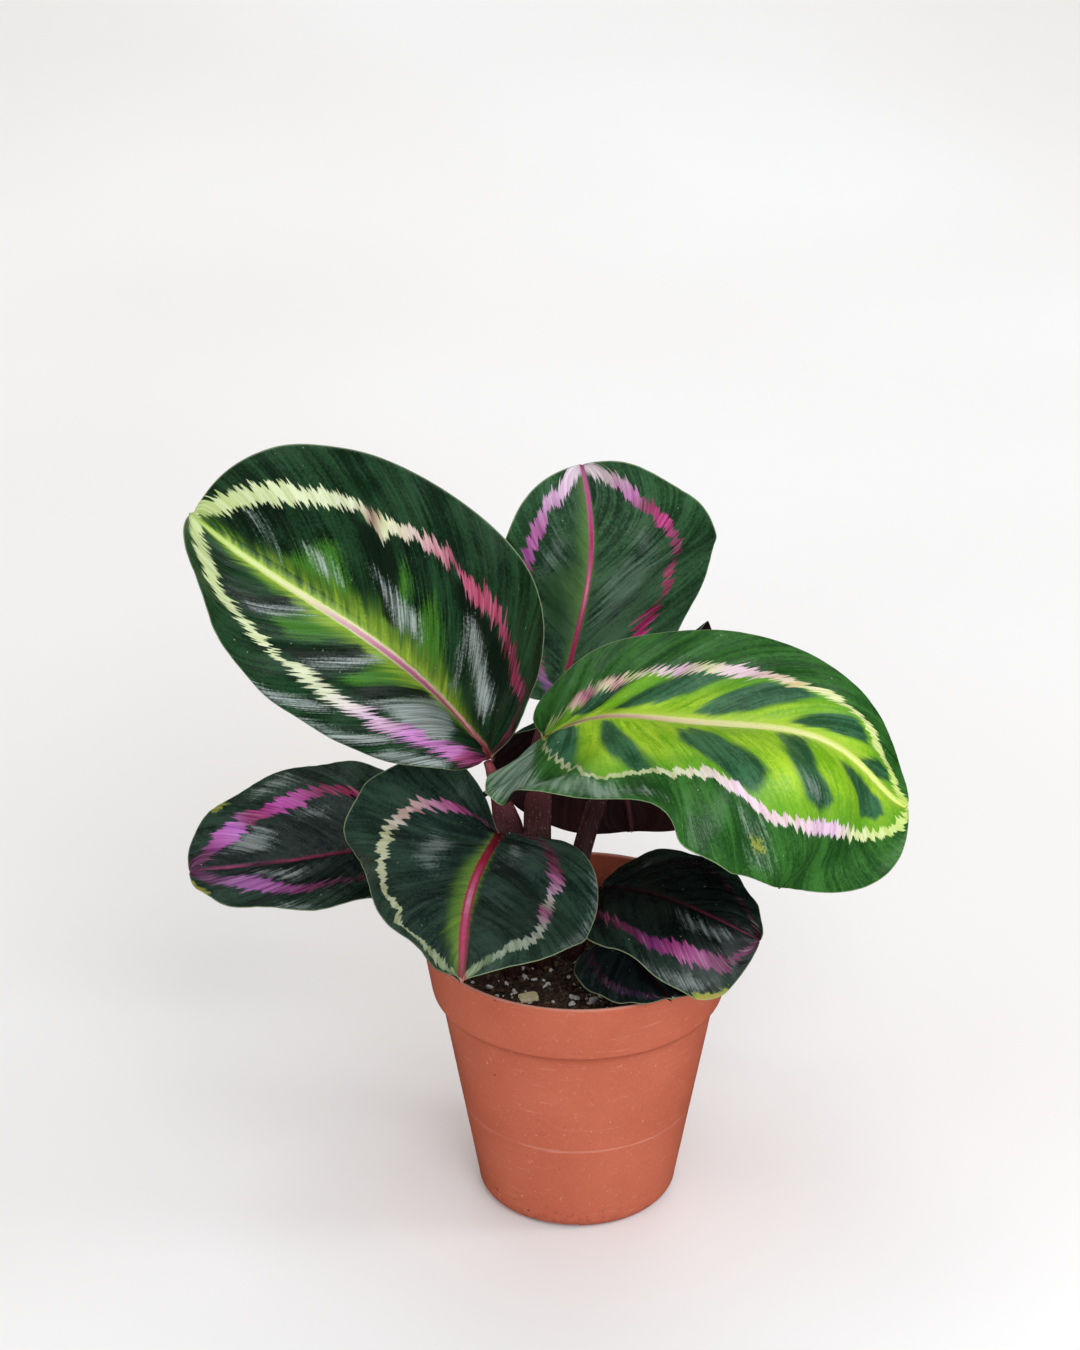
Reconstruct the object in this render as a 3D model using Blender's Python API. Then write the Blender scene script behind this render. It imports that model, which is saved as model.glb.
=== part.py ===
"""Rose-painted calathea in a 12 cm plastic nursery pot.

The pot's underside is centred on the origin, +Z is up and -Y is the front of the plant.
Lengths in the tables below are millimetres and angles are degrees.  Every leaf is one
closed blade laid out flat around its midrib, then bent along the midrib and across it.
"""

import math

import bmesh
import bpy
import numpy as np
from mathutils import Matrix

MM = 0.001
GAP = 0.3                      # clearance between pieces that touch

# ---- pot, injection moulded, with a stacking band under the rim --------------------
POT_HEIGHT = 112.5
RIM_RADIUS = 60.0
BAND_HEIGHT = 24.0
BAND_FOOT_RADIUS = 56.0
BAND_STEP = 2.8                # how far the wall is set in under the band
BAND_EDGE = 0.5                # bevel on the band's lower corners
BASE_RADIUS = 37.6
BASE_ROUND = 5.0
WALL = 1.3
LIP = 2.0                      # thickness of the rim's rounded edge
FLOOR = 1.6
FOOT_HEIGHT = 2.6              # the floor stands this far off the ground
FOOT_WIDTH = 7.0
PAD_RADIUS = 8.0               # round pad that the middle of the floor stands on
FOOT_DRAFT = 1.0               # taper of the foot and the pad over their height
CORNER = 2.0                   # bevel between the floor and the wall, inside
DRAIN_HOLES = 6
DRAIN_HOLE_RADIUS = 4.0
DRAIN_HOLE_CIRCLE = 21.0
DRAIN_HOLE_SIDES = 16
NOTCHES = 4
NOTCH_WIDTH = 21.0
NOTCH_HEIGHT = 1.9
NOTCH_ANGLE = -104.6           # the one that shows at the front, left of the middle
POT_SIDES = 56

# ---- potting mix -------------------------------------------------------------------
SOIL_LEVEL = 98.0
SOIL_SWELL = 1.2               # height of the lumps in its surface
LUMPS = (7.0, 9.0, 5.0)        # their spacing, as wavelengths over a full turn
SOIL_RINGS = 6
SOIL_SIDES = 30
PLANTED_DEPTH = 14.0

# ---- leaves ------------------------------------------------------------------------
BLADE_THICKNESS = 0.8
MIDRIB_THICKNESS = 1.8
VEIN_ROWS = 15                 # cross rows between the leaf's base and tip
COLUMNS = 5                    # columns from midrib to margin, on each side
BLUNTNESS = 0.85               # below 1, the outline is blunter at its ends than an ellipse
LOBE_REACH = 2.6               # scales a lobe so that its share is how far it reaches back
VEIN_CROWDING = 1.6            # above 1, side veins leave the midrib closer towards the base
VEIN_BEND = (0.25, 0.6)        # where a side vein bends forward, as shares of its run and width
SLOPE_STEPS = 8                # samples that the slope across the blade is averaged over

# base, tip   where the midrib starts and ends
# face        compass bearing and elevation that the upper side looks towards
# rise, sway  how far the midrib's inner control points stand off its chord, towards the
#             upper side and towards the left side
# twist       how far the blade turns about its midrib from base to tip
# The rest come in pairs, for the left and the right half seen from the base:
# half        greatest width from midrib to margin
# lobe        how far the base reaches back past the stem, as a share of the length
# full        fullness towards the base, and towards the middle
# inner       slope beside the midrib, from base to tip
# outer       slope at the margin, from base to tip
LEAVES = {
    "upper_left": dict(
        base=(-34, 8, 182), tip=(-142, 21, 278), face=(166, 40), rise=(-24, 13), sway=(-26, -1),
        twist=-11, half=(55, 68), lobe=(0.0, 0.07), full=((-0.05, 0.15), (0.08, 0.11)),
        inner=((75, 1, 18), (57, 21, 57)), outer=((-14, -78, 79), (86, -10, 38))),
    "back": dict(
        base=(-6, 48, 186), tip=(1, 41, 288), face=(163, 11), rise=(-18, 17), sway=(-12, -6),
        twist=13, half=(38, 50), lobe=(0.07, 0.09), full=((-0.05, 0.03), (-0.07, 0.0)),
        inner=((0, -4, -6), (-21, -32, 38)), outer=((-10, -9, 9), (24, -16, 22))),
    "right": dict(
        base=(-13, -16, 204), tip=(126, 19, 155), face=(180, 66), rise=(48, -27, 83, 7),
        sway=(4, 0, 4, -3), twist=-37, half=(38, 63), lobe=(0.09, 0.25),
        full=((0.31, -0.01), (-0.36, -0.17)), inner=((-39, -7, 52, 58, 32), (-5, 8, 111, -32, 9)),
        outer=((33, 28, 19, -39, -12), (38, -15, -100, -120, -12))),
    "front": dict(
        base=(-30, -10, 159), tip=(-42, -104, 153), face=(174, 67), rise=(-4, 1), sway=(-9, -4),
        twist=-5, half=(51, 50), lobe=(0.05, 0.33), full=((0.07, 0.09), (0.1, -0.1)),
        inner=((23, -19, 44), (-14, 21, -31)), outer=((13, -38, -9), (44, 37, 77))),
    "lower_left": dict(
        base=(-61, 15, 142), tip=(-148, 3, 136), face=(180, 75), rise=(3, 2), sway=(1, 0),
        twist=0, half=(35, 45), lobe=(0.05, 0.06), full=((0.1, 0.0), (0.1, 0.0)),
        inner=((17, 9, 7), (4, 5, 5)), outer=((3, 6, 7), (15, -5, 0))),
    "lower_right": dict(
        base=(9, -2, 132), tip=(68, -33, 127), face=(157, 80), rise=(10, 9), sway=(-1, -5),
        twist=-2, half=(36, 47), lobe=(0.05, 0.03), full=((0.1, 0.0), (0.0, 0.2)),
        inner=((1, -6, -4), (0, 23, -23)), outer=((1, -21, -16), (-8, 2, -35))),
    "young": dict(
        base=(12, -13, 117), tip=(34, -56, 116), face=(188, 77), rise=(2, -3), sway=(2, 0),
        twist=6, half=(23, 24), lobe=(0.05, 0.04), full=((0.1, 0.0), (0.1, 0.0)),
        inner=((0, 0, -11), (-3, -1, 0)), outer=((0, 0, -19), (-4, 5, 1))),
    "back_right": dict(
        base=(12, 70, 176), tip=(23, 115, 91), face=(-18, 39), rise=(34, 9), sway=(3, -3),
        twist=-15, half=(50, 57), lobe=(0.03, 0.10), full=((0.0, 0.0), (0.12, 0.1)),
        inner=((-5, -2, -2), (15, 11, -15)), outer=((-10, -4, -3), (20, 21, -23))),
}

# ---- stems -------------------------------------------------------------------------
STEM_FOOT_RADIUS = 3.0         # inside its sheath
STEM_RADIUS = 1.7
JOINT_RADIUS = 2.1             # the swollen joint just under each blade
JOINT_LENGTH = 0.12            # share of the stem that the joint takes
STEM_POINTS = 15
UNDER_BLADE = 3.6              # from the blade's upper side to the middle of the stem's end
SHEATH_SHARE = 0.55            # share of the stem that its sheath thickens
SHEATH_TAPER = 1.5
HOOK_RISE = 0.8                # how steeply the end comes up, against its run along the blade
SOCKET_TOP = 12.0              # how far above the mix a stem's socket cutter ends
# foot: where the stem stands in the crown.  stiff: how far it rises before it bends.
# hook: how strongly its end turns in under the blade.
STEMS = {
    "upper_left": dict(foot=(-21, 2), stiff=0.50, hook=0.30),
    "back": dict(foot=(-13, 8), stiff=0.45, hook=0.30),
    "right": dict(foot=(-14, -3), stiff=0.50, hook=0.25),
    "front": dict(foot=(-25, -13), stiff=0.55, hook=0.25),
    "lower_left": dict(foot=(-27, 8), stiff=0.45, hook=0.40),
    "lower_right": dict(foot=(-4, 2), stiff=0.40, hook=0.30),
    "young": dict(foot=(-5, -9), stiff=0.40, hook=0.30),
    "back_right": dict(foot=(-5, 12), stiff=0.35, hook=0.40),
}

# ---- colours, linear, and roughness --------------------------------------------------
TERRACOTTA = ((0.42, 0.12, 0.06), 0.45)
PEAT = ((0.020, 0.013, 0.009), 0.95)
STEM_MAROON = ((0.060, 0.014, 0.020), 0.55)
LEAF_COLOURS = {
    "upper_left": (0.010, 0.045, 0.018),
    "back": (0.018, 0.060, 0.035),
    "right": (0.060, 0.200, 0.030),
    "front": (0.012, 0.045, 0.030),
    "lower_left": (0.012, 0.035, 0.025),
    "lower_right": (0.012, 0.030, 0.022),
    "young": (0.012, 0.020, 0.016),
    "back_right": (0.020, 0.008, 0.012),
}
LEAF_ROUGHNESS = 0.35


def start_afresh():
    """Remove whatever objects the file holds."""
    for old in list(bpy.data.objects):
        bpy.data.objects.remove(old, do_unlink=True)


def add_object(name, data):
    piece = bpy.data.objects.new(name, data)
    bpy.context.scene.collection.objects.link(piece)
    return piece


def finish(piece, look):
    """Give the piece a material of its own."""
    colour, roughness = look
    material = bpy.data.materials.new(piece.name)
    material.use_nodes = True
    shader = material.node_tree.nodes["Principled BSDF"]
    shader.inputs["Base Color"].default_value = (*colour, 1.0)
    shader.inputs["Roughness"].default_value = roughness
    shader.inputs["Metallic"].default_value = 0.0
    piece.data.materials.append(material)


def smooth(piece, sharp_angle=40):
    piece.data.shade_smooth()
    piece.data.set_sharp_from_angle(angle=math.radians(sharp_angle))


def cut(piece, cutter):
    """Subtract the cutter, which stays hidden, from the piece."""
    cutter.hide_render = True
    cutter.display_type = "WIRE"
    modifier = piece.modifiers.new(cutter.name, "BOOLEAN")
    modifier.operation = "DIFFERENCE"
    modifier.solver = "EXACT"
    modifier.object = cutter


def turned(name, profile, sides):
    """Spin a profile of (radius, height) pairs that starts and ends on the axis."""
    mesh = bpy.data.meshes.new(name)
    form = bmesh.new()
    points = [form.verts.new((radius * MM, 0.0, height * MM)) for radius, height in profile]
    edges = [form.edges.new(pair) for pair in zip(points, points[1:])]
    bmesh.ops.spin(form, geom=points + edges, cent=(0, 0, 0), axis=(0, 0, 1),
                   angle=math.tau, steps=sides, use_merge=True)
    bmesh.ops.remove_doubles(form, verts=form.verts, dist=1e-6)
    bmesh.ops.recalc_face_normals(form, faces=form.faces)
    form.to_mesh(mesh)
    form.free()
    return add_object(name, mesh)


# ---- pot and potting mix -------------------------------------------------------------

def wall_radius(height):
    """Outer radius of the wall below the band, which tapers evenly to the base."""
    top = BAND_FOOT_RADIUS - BAND_STEP
    return BASE_RADIUS + (top - BASE_RADIUS) * height / (POT_HEIGHT - BAND_HEIGHT)


def band_radius(height):
    """Outer radius of the flared band under the rim."""
    share = (height - (POT_HEIGHT - BAND_HEIGHT)) / BAND_HEIGHT
    return BAND_FOOT_RADIUS + (RIM_RADIUS - BAND_FOOT_RADIUS) * share


def arc(centre, radius, start, end, steps):
    """Points of an arc in the profile plane, angles in degrees from the +radius axis."""
    points = []
    for step in range(steps + 1):
        angle = math.radians(start + (end - start) * step / steps)
        points.append((centre[0] + radius * math.cos(angle), centre[1] + radius * math.sin(angle)))
    return points


def pot_profile():
    band_foot = POT_HEIGHT - BAND_HEIGHT
    foot_inner = BASE_RADIUS - FOOT_WIDTH
    lip_radius = LIP / 2
    rim_centre = (RIM_RADIUS - lip_radius, POT_HEIGHT - lip_radius)
    shelf = band_foot + WALL
    wall_foot = wall_radius(FOOT_HEIGHT + FLOOR) - WALL
    profile = [(0, 0), (PAD_RADIUS, 0), (PAD_RADIUS + FOOT_DRAFT, FOOT_HEIGHT),
               (foot_inner - FOOT_DRAFT, FOOT_HEIGHT), (foot_inner, 0)]
    profile += arc((wall_radius(BASE_ROUND) - BASE_ROUND, BASE_ROUND), BASE_ROUND, -90, -8, 4)
    profile += [(wall_radius(band_foot / 2), band_foot / 2),
                (wall_radius(band_foot), band_foot),
                (BAND_FOOT_RADIUS - BAND_EDGE, band_foot),
                (BAND_FOOT_RADIUS, band_foot + BAND_EDGE)]
    profile += arc(rim_centre, lip_radius, 0, 180, 4)
    profile += [(band_radius(POT_HEIGHT - LIP) - WALL, POT_HEIGHT - 2 * LIP),
                (band_radius(shelf) - WALL, shelf),
                (wall_radius(shelf) - WALL, shelf - BAND_EDGE),
                (wall_foot - CORNER, FOOT_HEIGHT + FLOOR + CORNER),
                (wall_foot - 2 * CORNER, FOOT_HEIGHT + FLOOR),
                (0, FOOT_HEIGHT + FLOOR)]
    return profile


def make_pot():
    pot = turned("pot", pot_profile(), POT_SIDES)
    form = bmesh.new()
    for index in range(DRAIN_HOLES):
        turn = Matrix.Rotation(math.tau * (index + 0.5) / DRAIN_HOLES, 4, "Z")
        place = turn @ Matrix.Translation((DRAIN_HOLE_CIRCLE * MM, 0, FOOT_HEIGHT * MM))
        bmesh.ops.create_cone(form, cap_ends=True, segments=DRAIN_HOLE_SIDES,
                              radius1=DRAIN_HOLE_RADIUS * MM, radius2=DRAIN_HOLE_RADIUS * MM,
                              depth=3 * FLOOR * MM, matrix=place)
    for index in range(NOTCHES):
        turn = Matrix.Rotation(math.radians(NOTCH_ANGLE) + math.tau * index / NOTCHES, 4, "Z")
        size = Matrix.Diagonal((3 * FOOT_WIDTH * MM, NOTCH_WIDTH * MM, 2 * NOTCH_HEIGHT * MM, 1))
        place = turn @ Matrix.Translation((BASE_RADIUS * MM, 0, 0)) @ size
        bmesh.ops.create_cube(form, size=1.0, matrix=place)
    mesh = bpy.data.meshes.new("drain_cutter")
    form.to_mesh(mesh)
    form.free()
    cut(pot, add_object("drain_cutter", mesh))
    smooth(pot)
    finish(pot, TERRACOTTA)


def soil_height(x, y):
    """Lumps in the surface of the potting mix, in millimetres."""
    wave = math.sin(x / LUMPS[0] + 1) * math.cos(y / LUMPS[1]) \
        + math.sin((x + 2 * y) / LUMPS[2]) / 2
    return SOIL_LEVEL + SOIL_SWELL * wave


def make_potting_mix(stems):
    """A plug that fills the pot, with a socket for every stem that stands in it."""
    floor = FOOT_HEIGHT + FLOOR + GAP
    shelf = POT_HEIGHT - BAND_HEIGHT + WALL + GAP
    edge = band_radius(SOIL_LEVEL) - WALL - 2 * GAP
    side = [(0, floor), (wall_radius(floor) - WALL - 2 * CORNER - 1, floor),
            (wall_radius(floor) - WALL - CORNER - 1, floor + CORNER + 1),
            (wall_radius(shelf - 1) - WALL - 3 * GAP, shelf - 1),
            (band_radius(shelf) - WALL - 3 * GAP, shelf)]
    top = [(edge * ring / SOIL_RINGS, SOIL_LEVEL) for ring in range(SOIL_RINGS, -1, -1)]
    soil = turned("potting_mix", side + top, SOIL_SIDES)
    for vertex in soil.data.vertices:
        if vertex.co.z > (SOIL_LEVEL - 1) * MM:
            vertex.co.z = soil_height(vertex.co.x / MM, vertex.co.y / MM) * MM
    cut(soil, sockets(stems))
    smooth(soil)
    finish(soil, PEAT)


# ---- leaves --------------------------------------------------------------------------

def bernstein(values, share):
    """The Bezier curve through the first and last of the values, at 0..1 along it."""
    degree = len(values) - 1
    share = np.asarray(share, float)
    weights = [math.comb(degree, k) * share ** k * (1 - share) ** (degree - k)
               for k in range(degree + 1)]
    return sum(np.multiply.outer(weight, np.asarray(value, float))
               for weight, value in zip(weights, values))


def unit(vectors):
    return vectors / np.linalg.norm(vectors, axis=-1, keepdims=True)


def facing(leaf):
    bearing, elevation = (math.radians(angle) for angle in leaf["face"])
    return np.array([math.sin(bearing) * math.cos(elevation),
                     math.cos(bearing) * math.cos(elevation), math.sin(elevation)])


def midrib(leaf, share):
    """Points on the midrib with the blade's upper and left directions there.

    share runs from 0 at the base to 1 at the tip, and the midrib goes on straight outside that.
    """
    base, tip = (np.array(leaf[end], float) for end in ("base", "tip"))
    chord = tip - base
    up = facing(leaf)
    up = unit(up - chord * (up @ chord) / (chord @ chord))
    left = np.cross(up, unit(chord))
    spacing = 1 / (len(leaf["rise"]) + 1)
    bends = [base + chord * spacing * (k + 1) + up * rise + left * sway
             for k, (rise, sway) in enumerate(zip(leaf["rise"], leaf["sway"]))]
    controls = [base, *bends, tip]
    inside = np.clip(share, 0.0, 1.0)
    along = unit(bernstein(np.diff(controls, axis=0), inside))
    point = bernstein(controls, inside)
    point = point + along * ((share - inside) * np.linalg.norm(chord))[..., None]
    upper = unit(up - along * (along @ up)[..., None])
    left = np.cross(upper, along)
    turn = np.radians(leaf["twist"]) * (inside - 0.5)[..., None]
    return (point, along, upper * np.cos(turn) + left * np.sin(turn),
            left * np.cos(turn) - upper * np.sin(turn))


def outline(leaf, half, station):
    """Margin of one half of the flat leaf: distance along the midrib, and out from it."""
    length = np.linalg.norm(np.subtract(leaf["tip"], leaf["base"]))
    angle = math.pi * station
    back = LOBE_REACH * leaf["lobe"][half] * np.sin(angle) * (1 - station) ** 2
    towards_base, towards_middle = leaf["full"][half]
    fullness = 1 + towards_base * np.cos(angle) + towards_middle * np.cos(2 * angle)
    out = leaf["half"][half] * np.sin(angle) ** BLUNTNESS * fullness
    return length * (0.5 - 0.5 * np.cos(angle) - back), out


def blade_point(leaf, half, station, across):
    """A point on the blade.

    station numbers the side veins from 0 at the base to 1 at the tip, and across runs along
    each of them from the midrib to the margin.  Side veins leave the midrib and curve forward.
    """
    length = np.linalg.norm(np.subtract(leaf["tip"], leaf["base"]))
    margin_along, margin_out = outline(leaf, half, station)
    root = length * station ** VEIN_CROWDING
    bend_along = root + VEIN_BEND[0] * (margin_along - root)
    bend_out = VEIN_BEND[1] * margin_out
    at_root, at_bend, at_margin = (1 - across) ** 2, 2 * across * (1 - across), across ** 2
    along = at_root * root + at_bend * bend_along + at_margin * margin_along
    out = at_bend * bend_out + at_margin * margin_out
    share = along / length
    inside = np.clip(share, 0.0, 1.0)
    inner, outer = (np.radians(bernstein(leaf[key][half], inside)) for key in ("inner", "outer"))
    spots = np.multiply.outer(across, (np.arange(SLOPE_STEPS) + 0.5) / SLOPE_STEPS)
    blend = spots ** 2 * (3 - 2 * spots)
    slope = inner[..., None] + (outer - inner)[..., None] * blend
    sideways = out * np.cos(slope).mean(-1)
    lift = out * np.sin(slope).mean(-1)
    point, _, upper, left = midrib(leaf, share)
    side = (1, -1)[half]
    return point + side * left * sideways[..., None] + upper * lift[..., None]


def make_leaf(name, leaf):
    """A closed blade: a sheet of side veins, thickened downwards and most along the midrib."""
    stations = np.arange(1, VEIN_ROWS) / VEIN_ROWS
    origin = np.array(leaf["base"], float)
    form = bmesh.new()
    weights = form.verts.layers.deform.verify()

    def vertex(point, across):
        corner = form.verts.new((np.array(point, float) - origin) * MM)
        corner[weights][0] = (1 - across) ** 3
        return corner

    first = vertex(leaf["base"], 0)
    last = vertex(leaf["tip"], 0)
    rows = []
    for station in stations:
        sides = [[vertex(blade_point(leaf, half, np.array(station), np.array(step / COLUMNS)),
                         step / COLUMNS) for step in range(1, COLUMNS + 1)] for half in (0, 1)]
        middle = vertex(blade_point(leaf, 0, np.array(station), np.array(0.0)), 0)
        rows.append(sides[0][::-1] + [middle] + sides[1])
    for left, right in zip(range(2 * COLUMNS), range(1, 2 * COLUMNS + 1)):
        form.faces.new((rows[0][left], first, rows[0][right]))
        form.faces.new((rows[-1][right], last, rows[-1][left]))
        for lower, higher in zip(rows, rows[1:]):
            form.faces.new((lower[left], lower[right], higher[right], higher[left]))
    mesh = bpy.data.meshes.new("leaf_" + name)
    form.to_mesh(mesh)
    form.free()
    blade = add_object("leaf_" + name, mesh)
    blade.location = origin * MM
    blade.vertex_groups.new(name="midrib")
    thicken = blade.modifiers.new("thickness", "SOLIDIFY")
    thicken.thickness = MIDRIB_THICKNESS * MM
    thicken.offset = -1
    thicken.vertex_group = "midrib"
    thicken.thickness_vertex_group = BLADE_THICKNESS / MIDRIB_THICKNESS
    smooth(blade, 80)
    finish(blade, (LEAF_COLOURS[name], LEAF_ROUGHNESS))
    return blade


# ---- stems ---------------------------------------------------------------------------

def stem_path(name):
    """From its foot in the potting mix up and over to the underside of its blade."""
    leaf, stem = LEAVES[name], STEMS[name]
    foot = np.array([*stem["foot"], SOIL_LEVEL - PLANTED_DEPTH], float)
    base, along, upper, _ = (item.reshape(3) for item in midrib(leaf, np.array([0.0])))
    end = base - upper * UNDER_BLADE
    span = np.linalg.norm(end - foot)
    rise = foot + np.array([0, 0, span * stem["stiff"]])
    approach = end - unit(along + HOOK_RISE * upper) * span * stem["hook"]
    return bernstein([foot, rise, approach, end], np.linspace(0, 1, STEM_POINTS))


def stem_radius(share):
    """The sheathed foot thins out by half way, and the joint swells just under the blade."""
    sheath = max(0.0, 1 - share / SHEATH_SHARE) ** SHEATH_TAPER
    joint = math.sin(math.pi * (share - 1 + JOINT_LENGTH) / JOINT_LENGTH) ** 2 \
        if share > 1 - JOINT_LENGTH else 0.0
    return STEM_RADIUS + (STEM_FOOT_RADIUS - STEM_RADIUS) * sheath \
        + (JOINT_RADIUS - STEM_RADIUS) * joint


def rod(name, points, radii):
    """A round rod along the points, with flat ends."""
    curve = bpy.data.curves.new(name, "CURVE")
    curve.dimensions = "3D"
    curve.bevel_depth = MM
    curve.bevel_resolution = 2
    curve.use_fill_caps = True
    spline = curve.splines.new("POLY")
    spline.points.add(len(points) - 1)
    for knot, point, radius in zip(spline.points, points, radii):
        knot.co = (*(point * MM), 1.0)
        knot.radius = radius
    return add_object(name, curve)


def make_stem(name):
    points = stem_path(name)
    radii = [stem_radius(share) for share in np.linspace(0, 1, STEM_POINTS)]
    stem = rod("stem_" + name, points, radii)
    finish(stem, STEM_MAROON)
    return stem, points, radii


def sockets(stems):
    """One cutter for all the holes that the stems stand in, a gap wider and deeper."""
    form = bmesh.new()
    for _, points, radii in stems:
        planted = [k for k, point in enumerate(points) if point[2] < SOIL_LEVEL + SOCKET_TOP]
        path = [points[k] for k in planted]
        path[0] = path[0] - np.array([0, 0, GAP])
        hole = rod("socket", path, [radii[k] + GAP for k in planted])
        mesh = bpy.data.meshes.new_from_object(hole)
        form.from_mesh(mesh)
        bpy.data.objects.remove(hole)
    mesh = bpy.data.meshes.new("socket_cutter")
    form.to_mesh(mesh)
    form.free()
    return add_object("socket_cutter", mesh)


start_afresh()
make_pot()
plant = add_object("plant", None)
planted_stems = [make_stem(name) for name in STEMS]
blades = [make_leaf(name, leaf) for name, leaf in LEAVES.items()]
for piece in blades + [stem for stem, _, _ in planted_stems]:
    piece.parent = plant
make_potting_mix(planted_stems)
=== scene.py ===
import math
import random

import bmesh
import bpy
import numpy as np
from mathutils import Matrix, Vector


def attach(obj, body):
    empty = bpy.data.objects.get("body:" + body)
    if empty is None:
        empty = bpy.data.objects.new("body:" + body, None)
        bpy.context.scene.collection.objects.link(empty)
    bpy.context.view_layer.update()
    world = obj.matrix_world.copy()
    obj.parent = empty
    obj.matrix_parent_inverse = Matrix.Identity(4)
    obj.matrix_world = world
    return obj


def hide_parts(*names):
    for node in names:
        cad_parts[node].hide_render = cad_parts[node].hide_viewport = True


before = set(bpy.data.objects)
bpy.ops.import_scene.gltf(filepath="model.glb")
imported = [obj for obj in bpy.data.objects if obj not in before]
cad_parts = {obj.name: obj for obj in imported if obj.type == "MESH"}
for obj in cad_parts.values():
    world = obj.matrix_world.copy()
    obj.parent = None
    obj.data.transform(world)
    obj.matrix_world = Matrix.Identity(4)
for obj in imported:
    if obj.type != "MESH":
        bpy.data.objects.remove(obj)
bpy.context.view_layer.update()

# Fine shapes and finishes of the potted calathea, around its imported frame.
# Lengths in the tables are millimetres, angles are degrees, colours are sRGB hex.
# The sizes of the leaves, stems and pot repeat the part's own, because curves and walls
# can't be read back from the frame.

MM = 0.001

# ---- leaves: shape ------------------------------------------------------------------
BLUNTNESS = 0.85
LOBE_REACH = 2.6
VEIN_CROWDING = 1.6
VEIN_BEND = (0.25, 0.6)
SLOPE_STEPS = 8

STATIONS = 150                 # rows of the fine blade, base to tip
COLUMNS = 46                   # columns on each half, midrib to margin
COLUMN_CROWDING = 1.1          # how far they crowd towards the midrib
BLADE_THICKNESS = 0.45
EDGE_THICKNESS = 0.30
RIDGE_HEIGHT = 1.5             # how far the midrib stands out underneath
CHANNEL_DEPTH = 0.55           # the groove that the midrib makes in the upper side
CHANNEL_REACH = 2.0
VEIN_SPACING = 8.5             # between the main side veins, along the midrib
SWELLING = 0.8                 # height and spacing of the broad swellings between veins
SWELLING_SPACING = 26.0
UNEVENNESS = 0.6               # height and spacing of the blade's random bends
UNEVENNESS_SPACING = 34
RIPPLE = 0.10                  # and of the smallest ripples
RIPPLE_SPACING = 6
RANDOM_WAVES = 8               # waves that make up one random surface
PATCH_FADE = 8.0               # how far from a patch's outline its depth is still told
LEAF_APART = 7.0               # keeps one leaf's mottling from repeating on the next

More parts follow.
